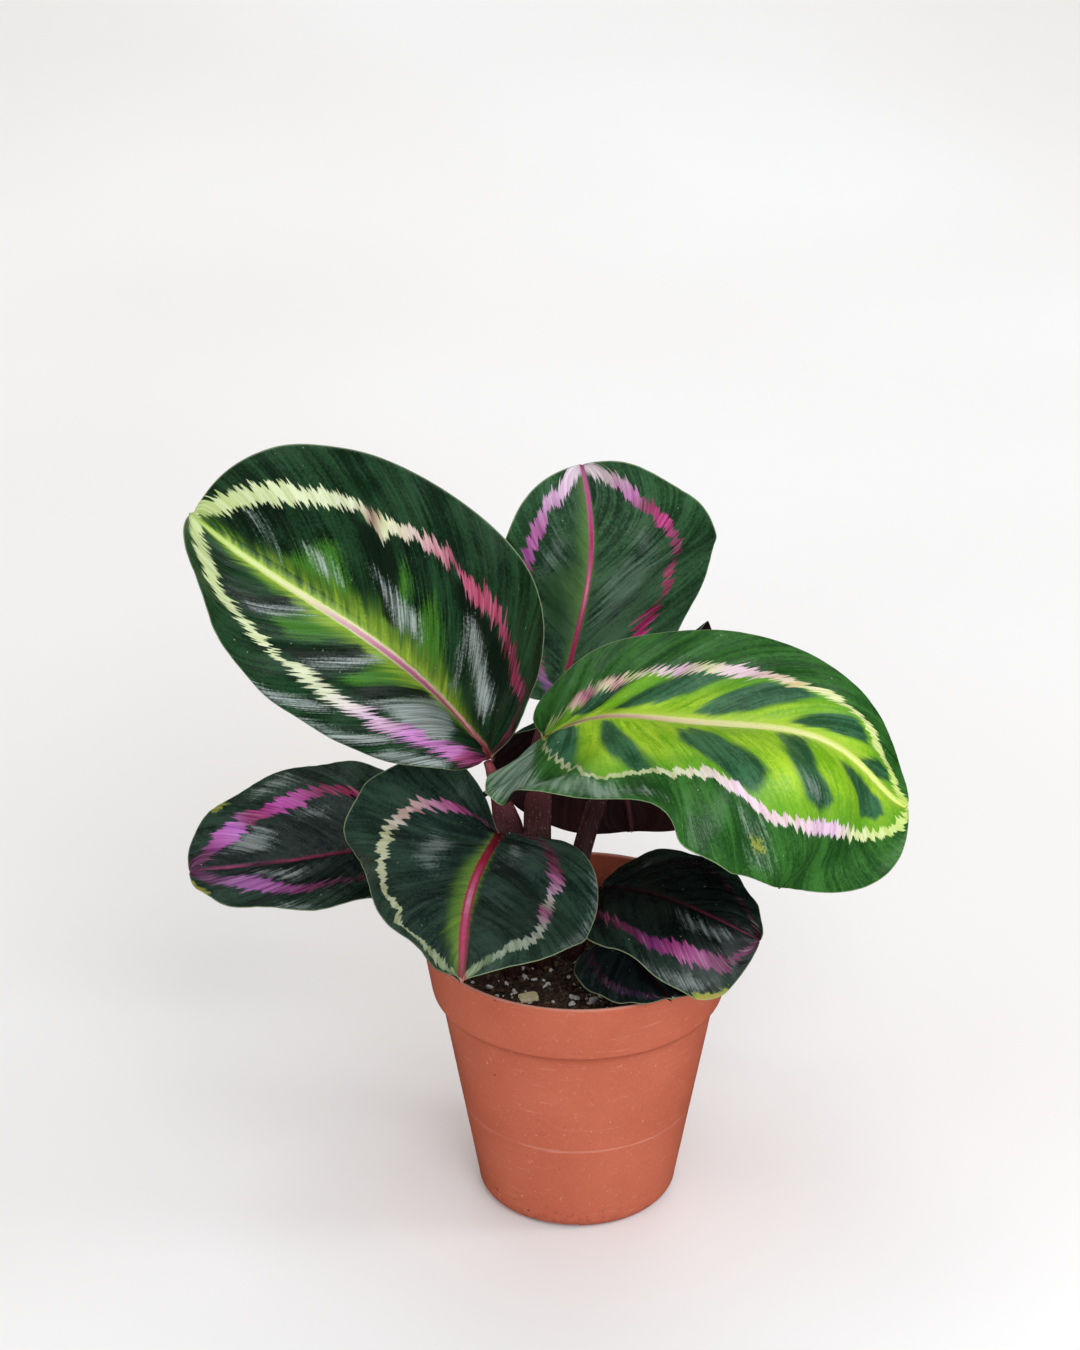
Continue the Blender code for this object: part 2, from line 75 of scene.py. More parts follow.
# The first rows of each entry, base to outer, are the part's own. They aren't hand-picked: a
# least-squares program fitted them, they were rounded, and a few were changed after that,
# most of them for back_right. The rest is relief:
# lean    how far side veins run forward on the way out, from base to tip, per half
# quilt   how far the blade swells between its side veins
# waves   waves of the margin per half: height, number, start and how far towards the tip
#         they reach
LEAVES = {
    "upper_left": dict(
        base=(-34, 8, 182), tip=(-142, 21, 278), face=(166, 40), rise=(-24, 13), sway=(-26, -1),
        twist=-11, half=(55, 68), lobe=(0.06, 0.07), full=((-0.05, 0.15), (0.08, 0.11)),
        inner=((75, 1, 18), (57, 21, 57)), outer=((-14, -78, 79), (86, -10, 38)),
        lean=((0.46, 0.46, 0.30, 0.10), (0.42, 0.40, 0.26, 0.10)), quilt=0.42,
        waves=((0.9, 5, 0.1, 1.0), (1.0, 5, 0.6, 1.0))),
    "back": dict(
        base=(-6, 48, 186), tip=(1, 41, 288), face=(163, 11), rise=(-18, 17), sway=(-12, -6),
        twist=13, half=(38, 50), lobe=(0.07, 0.09), full=((-0.05, 0.03), (-0.07, 0.0)),
        inner=((0, -4, -6), (-21, -32, 38)), outer=((-10, -9, 9), (24, -16, 22)),
        lean=((0.30, 0.30, 0.20), (0.30, 0.30, 0.20)), quilt=0.30,
        waves=((0.8, 4, 0.3, 1.0), (1.3, 5, 0.0, 1.0))),
    "right": dict(
        base=(-13, -16, 204), tip=(126, 19, 155), face=(180, 66), rise=(48, -27, 83, 7),
        sway=(4, 0, 4, -3), twist=-37, half=(38, 63), lobe=(0.09, 0.25),
        full=((0.31, -0.01), (-0.36, -0.17)), inner=((-39, -7, 52, 58, 32), (-5, 8, 111, -32, 9)),
        outer=((33, 28, 19, -39, -12), (38, -15, -100, -120, -12)),
        lean=((0.80, 0.66, 0.36, 0.20, 0.05), (0.25, 0.20, 0.15, 0.10, 0.05)), quilt=0.32,
        waves=((0.6, 4, 0.2, 1.0), (3.0, 10, 0.15, 0.50))),
    "front": dict(
        base=(-30, -10, 159), tip=(-42, -104, 153), face=(174, 67), rise=(-4, 1), sway=(-9, -4),
        twist=-5, half=(51, 50), lobe=(0.05, 0.33), full=((0.07, 0.09), (0.1, -0.1)),
        inner=((23, -19, 44), (-14, 21, -31)), outer=((13, -38, -9), (44, 37, 77)),
        lean=((0.34, 0.34, 0.20), (0.34, 0.34, 0.20)), quilt=0.30,
        waves=((0.9, 4, 0.5, 1.0), (1.8, 6, 0.3, 1.0))),
    "lower_left": dict(
        base=(-61, 15, 142), tip=(-148, 3, 136), face=(180, 75), rise=(3, 2), sway=(1, 0),
        twist=0, half=(35, 45), lobe=(0.05, 0.06), full=((0.1, 0.0), (0.1, 0.0)),
        inner=((17, 9, 7), (4, 5, 5)), outer=((3, 6, 7), (15, -5, 0)),
        lean=((0.30, 0.30, 0.20), (0.30, 0.30, 0.20)), quilt=0.38,
        waves=((1.1, 5, 0.1, 1.0), (0.9, 5, 0.4, 1.0))),
    "lower_right": dict(
        base=(9, -2, 132), tip=(68, -33, 127), face=(157, 80), rise=(10, 9), sway=(-1, -5),
        twist=-2, half=(36, 47), lobe=(0.05, 0.03), full=((0.1, 0.0), (0.0, 0.2)),
        inner=((1, -6, -4), (0, 23, -23)), outer=((1, -21, -16), (-8, 2, -35)),
        lean=((0.30, 0.30, 0.20), (0.30, 0.30, 0.20)), quilt=0.38,
        waves=((0.8, 4, 0.1, 1.0), (1.2, 6, 0.2, 1.0))),
    "young": dict(
        base=(12, -13, 117), tip=(34, -56, 116), face=(188, 77), rise=(2, -3), sway=(2, 0),
        twist=6, half=(23, 24), lobe=(0.05, 0.04), full=((0.1, 0.0), (0.1, 0.0)),
        inner=((0, 0, -11), (-3, -1, 0)), outer=((0, 0, -19), (-4, 5, 1)),
        lean=((0.30, 0.30, 0.20), (0.30, 0.30, 0.20)), quilt=0.25,
        waves=((0.4, 4, 0.1, 1.0), (0.6, 5, 0.2, 1.0))),
    "back_right": dict(
        base=(12, 70, 176), tip=(23, 115, 91), face=(-18, 39), rise=(34, 9), sway=(3, -3),
        twist=-15, half=(50, 57), lobe=(0.03, 0.10), full=((0.0, 0.0), (0.12, 0.1)),
        inner=((-5, -2, -2), (15, 11, -15)), outer=((-10, -4, -3), (20, 21, -23)),
        lean=((0.30, 0.30, 0.20), (0.30, 0.30, 0.20)), quilt=0.35,
        waves=((1.0, 4, 0.1, 1.0), (1.0, 5, 0.4, 1.0))),
}

# ---- leaves: markings ----------------------------------------------------------------
# Numbers in plain lists run evenly from base to tip, for the left and the right half.
# field, border  dark and light green inside the ring and outside it
# feather        light green beside the midrib: close to it, away from it, and its dark streaks
# glow           where it turns from one to the other, as shares of its reach
# reach          how far the feather reaches out of the midrib
# painted_sheen_cover  how much of the blade the painted sheen, grey-white highlights laid
#                into the colour, covers where it is thickest
# bars           dark and light green of the bars that run out to the ring
# deepens        what the field deepens to before it meets the ring
# ring           where the ring lies across each half, as a share of the way to the margin;
#                for the six larger leaves in front it mostly follows a measuring program
# ring_width     how broad it is
# strokes        how far its brush strokes reach out of it
# tooth          how it wavers: the breadth of the waves, and how far they swing
# ring_colours   (share of the length, colour) per half
# rib, rib_edge  the midrib's middle and its sides, (share of the length, colour)
# rib_width      the midrib's breadth
# rib_shift      how far it lies left of the fold
LOOKS = {
    "upper_left": dict(
        field=("#0A1B0F", "#1D4526"), border=("#0C2210", "#22492A"),
        feather=("#A6C43C", "#458021", "#214E17"), glow=(0.0, 1.4), painted_sheen_cover=0.72,
        reach=((1, 3, 6, 9, 10, 8, 6, 4, 2), (1, 3, 6, 10, 12, 12, 9, 6, 3)),
        ring=((.80, .78, .73, .70, .68, .68, .66, .65, .67, .66, .68, .68, .66, .63, .62, .62, .63,
               .68, .66, .66, .62),
              (.78, .76, .70, .70, .66, .60, .61, .64, .65, .63, .64, .66, .64, .57, .65, .66, .60,
               .62, .59, .53, .50)),
        ring_width=((2, 4, 6, 6, 4.5, 2.5, 5, 5, 4, 4, 3.5, 4, 4, 3.6, 0.9, 4.5, 4.6, 7, 7.5, 7, 5),
                    (3, 3.6, 4, 4.5, 5.5, 5.5, 3.6, 2.4, 4, 5.5, 1.7, 3.5, 4, 4.6, 2.4, 6, 4, 6.5,
                     7.5, 7.5, 5)),
        strokes=3.4, tooth=(1.5, 10.0),
        ring_colours=(
            ((0.05, "#A8437A"), (0.12, "#BC5A94"), (0.15, "#D289C8"), (0.33, "#D492D2"),
             (0.37, "#DBB4D2"), (0.44, "#DFC2D8"), (0.50, "#E6DCDC"), (0.55, "#DCE0C6"),
             (0.75, "#D9E2B8"), (1.0, "#CFDDA2")),
            ((0.10, "#6E1E3C"), (0.20, "#86224A"), (0.25, "#A02E5A"), (0.33, "#8A2A4C"),
             (0.40, "#B84C70"), (0.48, "#C0587A"), (0.51, "#9A3A58"), (0.55, "#C8909A"),
             (0.59, "#DDC8C0"), (0.65, "#DADDB8"), (0.68, "#8A6656"), (0.71, "#D8DDBE"),
             (1.0, "#CFDDA2"))),
        rib=((0.0, "#8C2733"), (0.22, "#B04A5C"), (0.40, "#C05C84"), (0.55, "#CC7FA2"),
             (0.66, "#D9A8B4"), (0.76, "#E3DDB0"), (0.88, "#D8E69A"), (1.0, "#BFD878")),
        rib_edge=((0.0, "#A34A4C"), (0.20, "#D9A49C"), (0.45, "#E8C4BC"), (0.62, "#DFE0AA"),
                  (0.8, "#C8DC74"), (1.0, "#A9CC55")),
        rib_width=(7.0, 6.0, 5.0, 3.8, 2.4),
        rib_shift=(0, 0.4, 1.6, 2.6, 3.4, 4.2, 4.8, 5.2, 5.2, 4.2, 2.0)),
    "back": dict(
        field=("#1A3324", "#466A4A"), border=("#1C3A22", "#3A6440"),
        feather=("#5C8040", "#2F5230", "#28482A"), glow=(0.1, 2.0), painted_sheen_cover=0.12,
        reach=((2, 3, 4, 6, 6, 3), (1, 1, 2, 2, 2, 1)),
        ring=((.42, .41, .40, .41, .47, .48, .46, .47, .50, .52, .56, .60, .63, .69, .71, .69, .68,
               .68, .63, .60, .56),
              (.50, .52, .54, .56, .57, .60, .63, .66, .66, .71, .72, .69, .67, .68, .66, .63, .63,
               .63, .60, .57, .54)),
        ring_width=((2, 2.4, 2.6, 4, 4, 3, 2.5, 2.4, 2.4, 2.4, 2.4, 2.5, 2.6, 4.5, 5, 4, 4, 4, 4.4,
                     4.6, 4.4),
                    (2, 2, 2, 2, 2.4, 2.6, 3, 5, 5, 0.8, 2.4, 3.6, 0.8, 2.8, 3.6, 6.5, 3, 4.6, 5, 5,
                     4.4)),
        strokes=2.4, tooth=(1.5, 8.0),
        ring_colours=(
            ((0.0, "#8A6AA0"), (0.20, "#A878A8"), (0.28, "#B0567E"), (0.58, "#A83C5E"),
             (0.62, "#B0507A"), (0.68, "#BC6AB4"), (0.76, "#B0629C"), (0.84, "#C290BC"),
             (0.90, "#D8BAD2"), (1.0, "#DDD0D8")),
            ((0.0, "#A8306C"), (0.36, "#C8348A"), (0.41, "#B02E70"), (0.46, "#8E3050"),
             (0.54, "#B24A70"), (0.60, "#7C3450"), (0.68, "#A04A74"), (0.75, "#D64E9E"),
             (0.79, "#C24488"), (0.83, "#8E4A66"), (0.88, "#CC86C0"), (0.93, "#C6B4B8"),
             (1.0, "#D2C8CC"))),
        rib=((0.0, "#7E1A36"), (0.35, "#A02650"), (0.50, "#BC5078"), (0.60, "#D08098"),
             (0.70, "#BE5880"), (0.80, "#AC2E68"), (1.0, "#B0608C")),
        rib_edge=((0.0, "#7E2038"), (0.5, "#A8305A"), (1.0, "#B25A88")),
        rib_width=(3.6, 3.0, 2.6, 2.2, 1.8),
        rib_shift=(0, 0)),
    "right": dict(
        field=("#6CA414", "#A8CE2C"), border=("#1B4518", "#38702A"),
        bars=("#173F2A", "#34694A"), deepens="#3F8A1C",
        feather=("#BCD24A", "#8CBE22", "#7FB41C"), glow=(0.1, 2.0), painted_sheen_cover=0.34,
        reach=((6, 6, 5, 4, 4, 3), (3, 4, 4, 4, 4, 3)),
        ring=((.52, .54, .58, .59, .60, .61, .60, .58, .585, .58, .57, .56, .51, .49, .53, .53, .54,
               .55, .57, .57, .52),
              (.12, .16, .22, .33, .42, .48, .58, .70, .62, .58, .57, .58, .62, .60, .59, .57, .53,
               .56, .57, .62, .68)),
        ring_width=((1.4, 1.6, 2, 2.6, 3.4, 4.2, 4.4, 4, 1.4, 4, 4, 5, 2.4, 3.4, 4.2, 5, 5, 5.4,
                     4.4, 4, 3),
                    (1.0, 1.0, 1.2, 1.4, 1.6, 1.8, 2.0, 2.4, 3, 4, 5, 4.6, 3.6, 3.6, 4.6, 5.5, 4.6,
                     4, 4.6, 4, 3)),
        strokes=1.9, tooth=(1.7, 9.0),
        ring_colours=(
            ((0.10, "#A8C070"), (0.18, "#DCD8B0"), (0.23, "#D2A8A4"), (0.26, "#B46A84"),
             (0.30, "#DED8B6"), (0.34, "#CC98A0"), (0.37, "#D8DCA8"), (0.42, "#E0C8D0"),
             (0.46, "#DDB8D0"), (0.50, "#DCDCB0"), (0.54, "#E4CCD8"), (0.58, "#E0C4CC"),
             (0.64, "#D8C8A4"), (0.70, "#DDE2AC"), (1.0, "#C6DC70")),
            ((0.10, "#8E9C72"), (0.25, "#B4BC90"), (0.38, "#B8C48C"), (0.46, "#DCD8C0"),
             (0.55, "#E2CCD8"), (0.62, "#DCC8C8"), (0.72, "#E2C2DC"), (0.78, "#E0C4D8"),
             (0.83, "#DCE2B4"), (1.0, "#C8DC7C"))),
        rib=((0.0, "#7C6A34"), (0.15, "#9C7458"), (0.28, "#C89C8C"), (0.42, "#D6BC98"),
             (0.60, "#E0DCA0"), (1.0, "#DCE684")),
        rib_edge=((0.0, "#7F8A2E"), (0.3, "#CDB894"), (0.5, "#DDD896"), (1.0, "#C4DE50")),
        rib_width=(4.0, 4.4, 3.4, 2.8, 2.2),
        rib_shift=(0.8, 0.8, 0.6, 0.2, 0)),
    "front": dict(
        field=("#14241E", "#334C41"), border=("#172A22", "#375041"),
        feather=("#7CA03C", "#2F5E2C", "#24502A"), glow=(0.1, 2.0), painted_sheen_cover=0.35,
        reach=((1, 2, 3, 3, 2, 1), (2, 4, 6, 6, 6, 3)),
        ring=((.60, .60, .62, .66, .64, .62, .62, .635, .64, .62, .62, .62, .61, .65, .67, .69, .68,
               .66, .58, .52, .50),
              (.46, .46, .48, .51, .56, .60, .65, .68, .67, .67, .66, .67, .67, .67, .57, .70, .50,
               .48, .50, .50, .50)),
        ring_width=((1, 1.4, 2, 3, 3.6, 4, 4, 4.4, 4.6, 3.4, 3.6, 4.4, 4, 3, 3.4, 4, 4, 4.6, 4.6,
                     4, 3),
                    (0.6, 0.8, 1, 1.8, 4.0, 4.4, 4, 4, 3.6, 4, 4, 3.4, 3.4, 4, 3, 3.4, 3.2,
                     3.8, 3.4, 2.4, 2)),
        strokes=2.0, tooth=(1.5, 7.2),
        ring_colours=(
            ((0.15, "#4E2034"), (0.28, "#74304A"), (0.33, "#8E4A66"), (0.38, "#B4749C"),
             (0.44, "#C4A8BC"), (0.48, "#C2BCB0"), (0.54, "#B8AEA8"), (0.58, "#BC5C92"),
             (0.63, "#B890A4"), (0.68, "#B4B8AC"), (0.85, "#A0AC98"), (1.0, "#869A74")),
            ((0.15, "#9A4A78"), (0.21, "#C2629C"), (0.27, "#CC8CB0"), (0.33, "#D4B4B0"),
             (0.40, "#D2C6BC"), (0.44, "#CDD0AE"), (0.65, "#CACFAC"), (0.80, "#ACB894"),
             (1.0, "#8FA67C"))),
        rib=((0.0, "#4E0C10"), (0.18, "#76121F"), (0.34, "#A81F42"), (0.50, "#CC5A80"),
             (0.62, "#D88CA4"), (0.72, "#CC5880"), (0.85, "#C04A70"), (1.0, "#A8605C")),
        rib_edge=((0.0, "#4E0C10"), (0.35, "#9A1A3C"), (0.7, "#B42458"), (1.0, "#8A4A48")),
        rib_width=(5.0, 4.0, 3.6, 3.8, 3.6),
        rib_shift=(0.4, 0, -0.4)),
    "lower_left": dict(
        field=("#0B1512", "#24352E"), border=("#0E1D15", "#2A4433"),
        feather=("#24402A", "#1C3020", "#1C3020"), glow=(0.1, 2.0), painted_sheen_cover=0.40,
        reach=((1, 1), (1, 1)),
        ring=((.62, .62, .62, .62, .62, .62, .62, .62, .60, .60, .61, .66, .65, .61, .59, .57, .55,
               .54, .56, .50, .45),
              (.60, .60, .60, .60, .60, .60, .60, .62, .63, .66, .67, .67, .64, .62, .61, .60, .58,
               .56, .51, .46, .42)),
        ring_width=((1, 1, 1, 1.2, 1.4, 1.6, 1.8, 2, 2.2, 2.4, 3, 4, 5, 5.5, 7, 7, 7, 6, 4, 3, 3),
                    (2, 2, 2, 2, 2.4, 2.6, 2.8, 3, 4.6, 4.6, 3.6, 6, 7, 7, 6, 8, 9, 9, 6, 4, 3)),
        strokes=2.6, tooth=(1.7, 8.2),
        ring_colours=(
            ((0.0, "#3A1022"), (0.45, "#4A1830"), (0.56, "#7C3460"), (0.64, "#9C4E8E"),
             (0.72, "#A862A6"), (0.82, "#A268A2"), (0.88, "#7A4872"), (1.0, "#5E2C50")),
            ((0.0, "#7E2050"), (0.42, "#AE2E68"), (0.50, "#8E3462"), (0.56, "#B84A9C"),
             (0.64, "#C252AE"), (0.70, "#AC3A80"), (0.73, "#94346A"), (0.78, "#C67CCC"),
             (0.85, "#B85CAE"), (0.92, "#7A3A66"), (1.0, "#5E2C50"))),
        rib=((0.0, "#3C0E1A"), (0.50, "#641E34"), (0.68, "#82304C"), (0.76, "#5A2438"),
             (0.80, "#33202A"), (0.86, "#8E3C62"), (1.0, "#7A4062")),
        rib_edge=((0.0, "#240C12"), (0.6, "#44182A"), (1.0, "#56304A")),
        rib_width=(3.6, 3.4, 3.4, 3.0, 2.6),
        rib_shift=(0, 0, 0.6, 1.8, 3.0, 2.0, 0)),
    "lower_right": dict(
        field=("#070C0B", "#18241F"), border=("#0B1411", "#23352B"),
        feather=("#142218", "#101A14", "#101A14"), glow=(0.1, 2.0), painted_sheen_cover=0.25,
        reach=((1, 1), (1, 1)),
        ring=((.60, .60, .60, .60, .60, .60, .62, .66, .70, .74, .74, .73, .72, .72, .72, .72, .72,
               .70, .66, .62, .58),
              (.42, .46, .48, .50, .51, .53, .56, .61, .64, .68, .69, .70, .665, .64, .61, .59, .59,
               .62, .64, .60, .54)),
        ring_width=((0.8, 1, 1.2, 1.4, 1.6, 1.6, 1.6, 1.6, 1.8, 2, 2, 2, 2, 2, 2, 2, 2, 2, 2, 2, 2),
                    (1, 2, 3, 4, 5, 4.6, 4.4, 4.6, 4.8, 4.6, 4.2, 4.6, 5, 5.5, 6.5, 7, 6, 5.5, 4, 3,
                     2)),
        strokes=2.4, tooth=(1.6, 7.6),
        ring_colours=(
            ((0.0, "#120609"), (0.6, "#260B15"), (1.0, "#3A1722")),
            ((0.10, "#3A1022"), (0.25, "#5A1834"), (0.40, "#6E2448"), (0.50, "#7A2E5C"),
             (0.60, "#7E3470"), (0.68, "#963A78"), (0.76, "#A05088"), (0.82, "#843868"),
             (0.90, "#74345A"), (1.0, "#54283C"))),
        rib=((0.0, "#1C080C"), (0.6, "#360E18"), (0.85, "#561C2E"), (1.0, "#6A3044")),
        rib_edge=((0.0, "#120709"), (1.0, "#2C141C")),
        rib_width=(3.0, 2.6, 2.2, 2.0),
        rib_shift=(0, 0)),
    "young": dict(
        field=("#0E1515", "#242E30"), border=("#121C1A", "#2B3937"),
        feather=("#101816", "#0C1211", "#0C1211"), glow=(0.1, 2.0), painted_sheen_cover=0.20,
        reach=((1, 1), (1, 1)),
        ring=((.62, .64, .64, .62), (.58, .62, .66, .64)),
        ring_width=((1.0, 1.6, 1.8, 1.2), (1.2, 2.6, 3.4, 2.0)),
        strokes=1.6, tooth=(1.3, 6.2),
        ring_colours=(
            ((0.0, "#1A0E14"), (0.6, "#301F2A"), (1.0, "#38242F")),
            ((0.0, "#221019"), (0.45, "#3C2030"), (0.6, "#4E3244"), (0.8, "#44304E"),
             (1.0, "#38242F"))),
        rib=((0.0, "#1E0A11"), (1.0, "#381A24")),
        rib_edge=((0.0, "#140B0E"), (1.0, "#221418")),
        rib_width=(2.2, 1.8, 1.4),
        rib_shift=(0, 0)),
    "back_right": dict(
        field=("#12231A", "#26402F"), border=("#15291A", "#2A482F"),
        feather=("#6A923C", "#264E20", "#1F4220"), glow=(0.1, 2.0), painted_sheen_cover=0.30,
        reach=((1, 3, 6, 6, 4, 2), (1, 3, 6, 6, 4, 2)),
        ring=((.66, .66, .66, .66), (.64, .64, .66, .66)),
        ring_width=((2.4, 3.4, 3.8, 3.0), (2.4, 3.6, 3.8, 3.0)),
        strokes=2.4, tooth=(1.9, 9.0),
        ring_colours=(
            ((0.0, "#8E2D58"), (0.5, "#C07AA8"), (1.0, "#D5D2B4")),
            ((0.0, "#8E2D58"), (0.5, "#C07AA8"), (1.0, "#D5D2B4"))),
        rib=((0.0, "#7A2030"), (0.5, "#B04C70"), (1.0, "#CDB28C")),
        rib_edge=((0.0, "#7A2030"), (0.5, "#C79A8C"), (1.0, "#AFBF6A")),
        rib_width=(4.0, 3.2, 2.8, 2.2),
        rib_shift=(0, 0)),
}

# Patches between side veins, each an outline of (share of the length, share across),
# for the left and the right half.
# dark: green that runs out to the ring.  light: the feather's longer plumes.
# painted sheen: grey-white highlights painted into the colour on the swellings between
# veins.  dry: where a margin has dried.
PATCHES = {
    "upper_left": dict(
        dark=((((.35, .15), (.40, .14), (.46, .30), (.54, .53), (.49, .53), (.43, .33)),
               ((.56, .20), (.60, .20), (.64, .38), (.69, .57), (.64, .57), (.60, .40)),
               ((.75, .24), (.78, .22), (.82, .50), (.79, .55))),
              (((.56, .10), (.60, .10), (.66, .35), (.70, .55), (.64, .55), (.60, .32)),
               ((.24, .30), (.36, .36), (.47, .44), (.50, .55), (.30, .50)))),
        light=((((.41, .10), (.52, .10), (.54, .22), (.58, .45), (.57, .52), (.52, .52),
                 (.46, .30)),
                ((.60, .10), (.73, .10), (.75, .25), (.78, .45), (.71, .50), (.66, .36)),
                ((.77, .08), (.87, .08), (.85, .26), (.80, .28))),
               (((.36, .05), (.49, .05), (.54, .20), (.53, .42), (.47, .30), (.42, .18)),
                ((.53, .04), (.62, .04), (.62, .24), (.61, .48), (.57, .40), (.55, .20)),
                ((.64, .04), (.86, .04), (.82, .14), (.77, .36), (.73, .36), (.68, .14)))),
        painted_sheen=((((.20, .52), (.22, .30), (.28, .13), (.35, .12), (.41, .30), (.49, .56),
                  (.40, .54), (.33, .58), (.26, .62)),
                 ((.53, .15), (.56, .15), (.60, .35), (.65, .56), (.62, .56), (.57, .38)),
                 ((.72, .18), (.75, .18), (.79, .38), (.81, .52), (.79, .52), (.75, .36)),
                 ((.32, .72), (.37, .72), (.46, .88), (.53, 1.0), (.43, 1.0), (.36, .86)),
                 ((.12, 1.0), (.14, .84), (.26, .80), (.32, .84), (.34, 1.0)),
                 ((.50, .76), (.55, .78), (.61, .92), (.65, 1.0), (.58, 1.0), (.53, .88))),
                (((.19, .13), (.24, .14), (.31, .20), (.38, .27), (.44, .44), (.38, .42),
                  (.30, .33), (.22, .27)),
                 ((.33, .07), (.35, .08), (.40, .24), (.45, .42), (.42, .38), (.37, .20)),
                 ((.49, .12), (.56, .10), (.62, .22), (.66, .32), (.58, .26), (.52, .22)),
                 ((.70, .12), (.76, .12), (.80, .27), (.75, .26)),
                 ((.83, .02), (.85, .03), (.88, .22), (.92, .48), (.89, .42), (.86, .22))))),
    "right": dict(
        dark=((((.18, .45), (.19, .28), (.27, .27), (.33, .38), (.38, .50), (.28, .49)),
               ((.31, .17), (.34, .14), (.42, .20), (.49, .32), (.545, .51), (.50, .53),
                (.43, .43), (.37, .30)),
               ((.51, .10), (.55, .09), (.62, .18), (.67, .35), (.685, .52), (.66, .52),
                (.61, .46), (.56, .30)),
               ((.70, .12), (.73, .12), (.79, .24), (.815, .45), (.80, .52), (.75, .52),
                (.725, .34)),
               ((.86, .10), (.88, .09), (.91, .16), (.915, .46), (.89, .50), (.86, .40))),
              (((.02, .02), (.15, .02), (.19, .12), (.26, .45), (.34, .78), (.24, .62), (.10, .30)),
               ((.265, .08), (.285, .08), (.34, .26), (.375, .42), (.405, .60), (.385, .64),
                (.33, .48), (.29, .30)),
               ((.455, .15), (.49, .11), (.53, .14), (.57, .28), (.60, .42), (.575, .53),
                (.54, .52), (.49, .40), (.45, .28)),
               ((.675, .06), (.73, .05), (.72, .18), (.715, .30), (.75, .42), (.72, .49),
                (.67, .48), (.66, .30)),
               ((.80, .13), (.86, .12), (.915, .24), (.925, .40), (.90, .47), (.865, .44),
                (.85, .30), (.81, .21)))),
        painted_sheen=((), (((.66, .36), (.72, .36), (.73, .46), (.67, .46)),
                     ((.0, .45), (.12, .45), (.30, .72), (.42, .82), (.38, 1.0), (.0, 1.0)),
                     ((.54, .66), (.58, .66), (.59, .92), (.56, .92)))),
        dry=((), (((.562, .77), (.572, .76), (.576, .82), (.566, .83)),))),
    "front": dict(
        light=((), (((.30, .04), (.80, .04), (.86, .12), (.80, .20), (.68, .14), (.40, .10)),)),
        painted_sheen=((((.20, .18), (.30, .20), (.28, .28), (.20, .26)),
                 ((.30, .95), (.62, .90), (.75, .95), (.70, 1.0), (.30, 1.0))),
                (((.30, .25), (.50, .24), (.48, .40), (.32, .42)),))),
    "back": dict(
        light=((((.36, .10), (.68, .10), (.70, .30), (.62, .50), (.40, .30)),), ()),
        painted_sheen=((((.62, .52), (.80, .50), (.78, .30), (.70, .28)),),
                (((.38, .10), (.60, .12), (.70, .30), (.62, .52), (.44, .40)),
                 ((.62, .38), (.80, .36), (.78, .50), (.64, .54))))),
    "lower_left": dict(
        painted_sheen=((((.52, .92), (.62, .90), (.60, 1.0), (.52, 1.0)),
                 ((.62, .30), (.78, .28), (.76, .44), (.64, .44))),
                (((.73, .16), (.82, .12), (.88, .30), (.84, .46), (.74, .48), (.71, .34)),
                 ((.50, .34), (.60, .40), (.60, .50), (.50, .46)),
                 ((.55, .80), (.66, .84), (.64, .92), (.55, .92)))),
        dry=((((.84, .95), (.95, .93), (.96, 1.02), (.84, 1.02)),),
             (((.73, .95), (.77, .95), (.77, 1.02), (.73, 1.02)),))),
    "lower_right": dict(
        painted_sheen=((), (((.66, .14), (.90, .12), (.88, .30), (.72, .34)),
                     ((.58, .92), (.74, .80), (.84, .82), (.74, .95), (.60, 1.0)))),
        dry=((), (((.75, .96), (.86, .95), (.86, 1.02), (.75, 1.02)),))),
}


# ---- shape of the blades ---------------------------------------------------------------

def bernstein(values, share):
    """The Bezier curve through the first and last of the values, at 0..1 along it."""
    degree = len(values) - 1
    share = np.asarray(share, float)
    weights = [math.comb(degree, k) * share ** k * (1 - share) ** (degree - k)
               for k in range(degree + 1)]
    return sum(np.multiply.outer(weight, np.asarray(value, float))
               for weight, value in zip(weights, values))


def unit(vectors):
    return vectors / np.linalg.norm(vectors, axis=-1, keepdims=True)


def smoothstep(low, high, value):
    share = np.clip((value - low) / (high - low), 0, 1)
    return share * share * (3 - 2 * share)


def evenly(values, share):
    """Read a list that runs evenly from base to tip."""
    return np.interp(share, np.linspace(0, 1, len(values)), values)


def unevenness(seed, spacing, *places):
    """Smooth random swells about spacing apart, mostly between -1 and 1."""
    chance = np.random.default_rng(seed)
    total = 0.0
    for _ in range(RANDOM_WAVES):
        heading = chance.normal(size=len(places))
        heading *= math.tau / spacing * chance.uniform(0.6, 1.5) / np.linalg.norm(heading)
        total = total + np.sin(sum(h * p for h, p in zip(heading, places)) + chance.uniform(0, 7))
    return total / (RANDOM_WAVES / 2)


def facing(leaf):
    bearing, elevation = (math.radians(angle) for angle in leaf["face"])
    return np.array([math.sin(bearing) * math.cos(elevation),
                     math.cos(bearing) * math.cos(elevation), math.sin(elevation)])


def leaf_length(leaf):
    return np.linalg.norm(np.subtract(leaf["tip"], leaf["base"]))


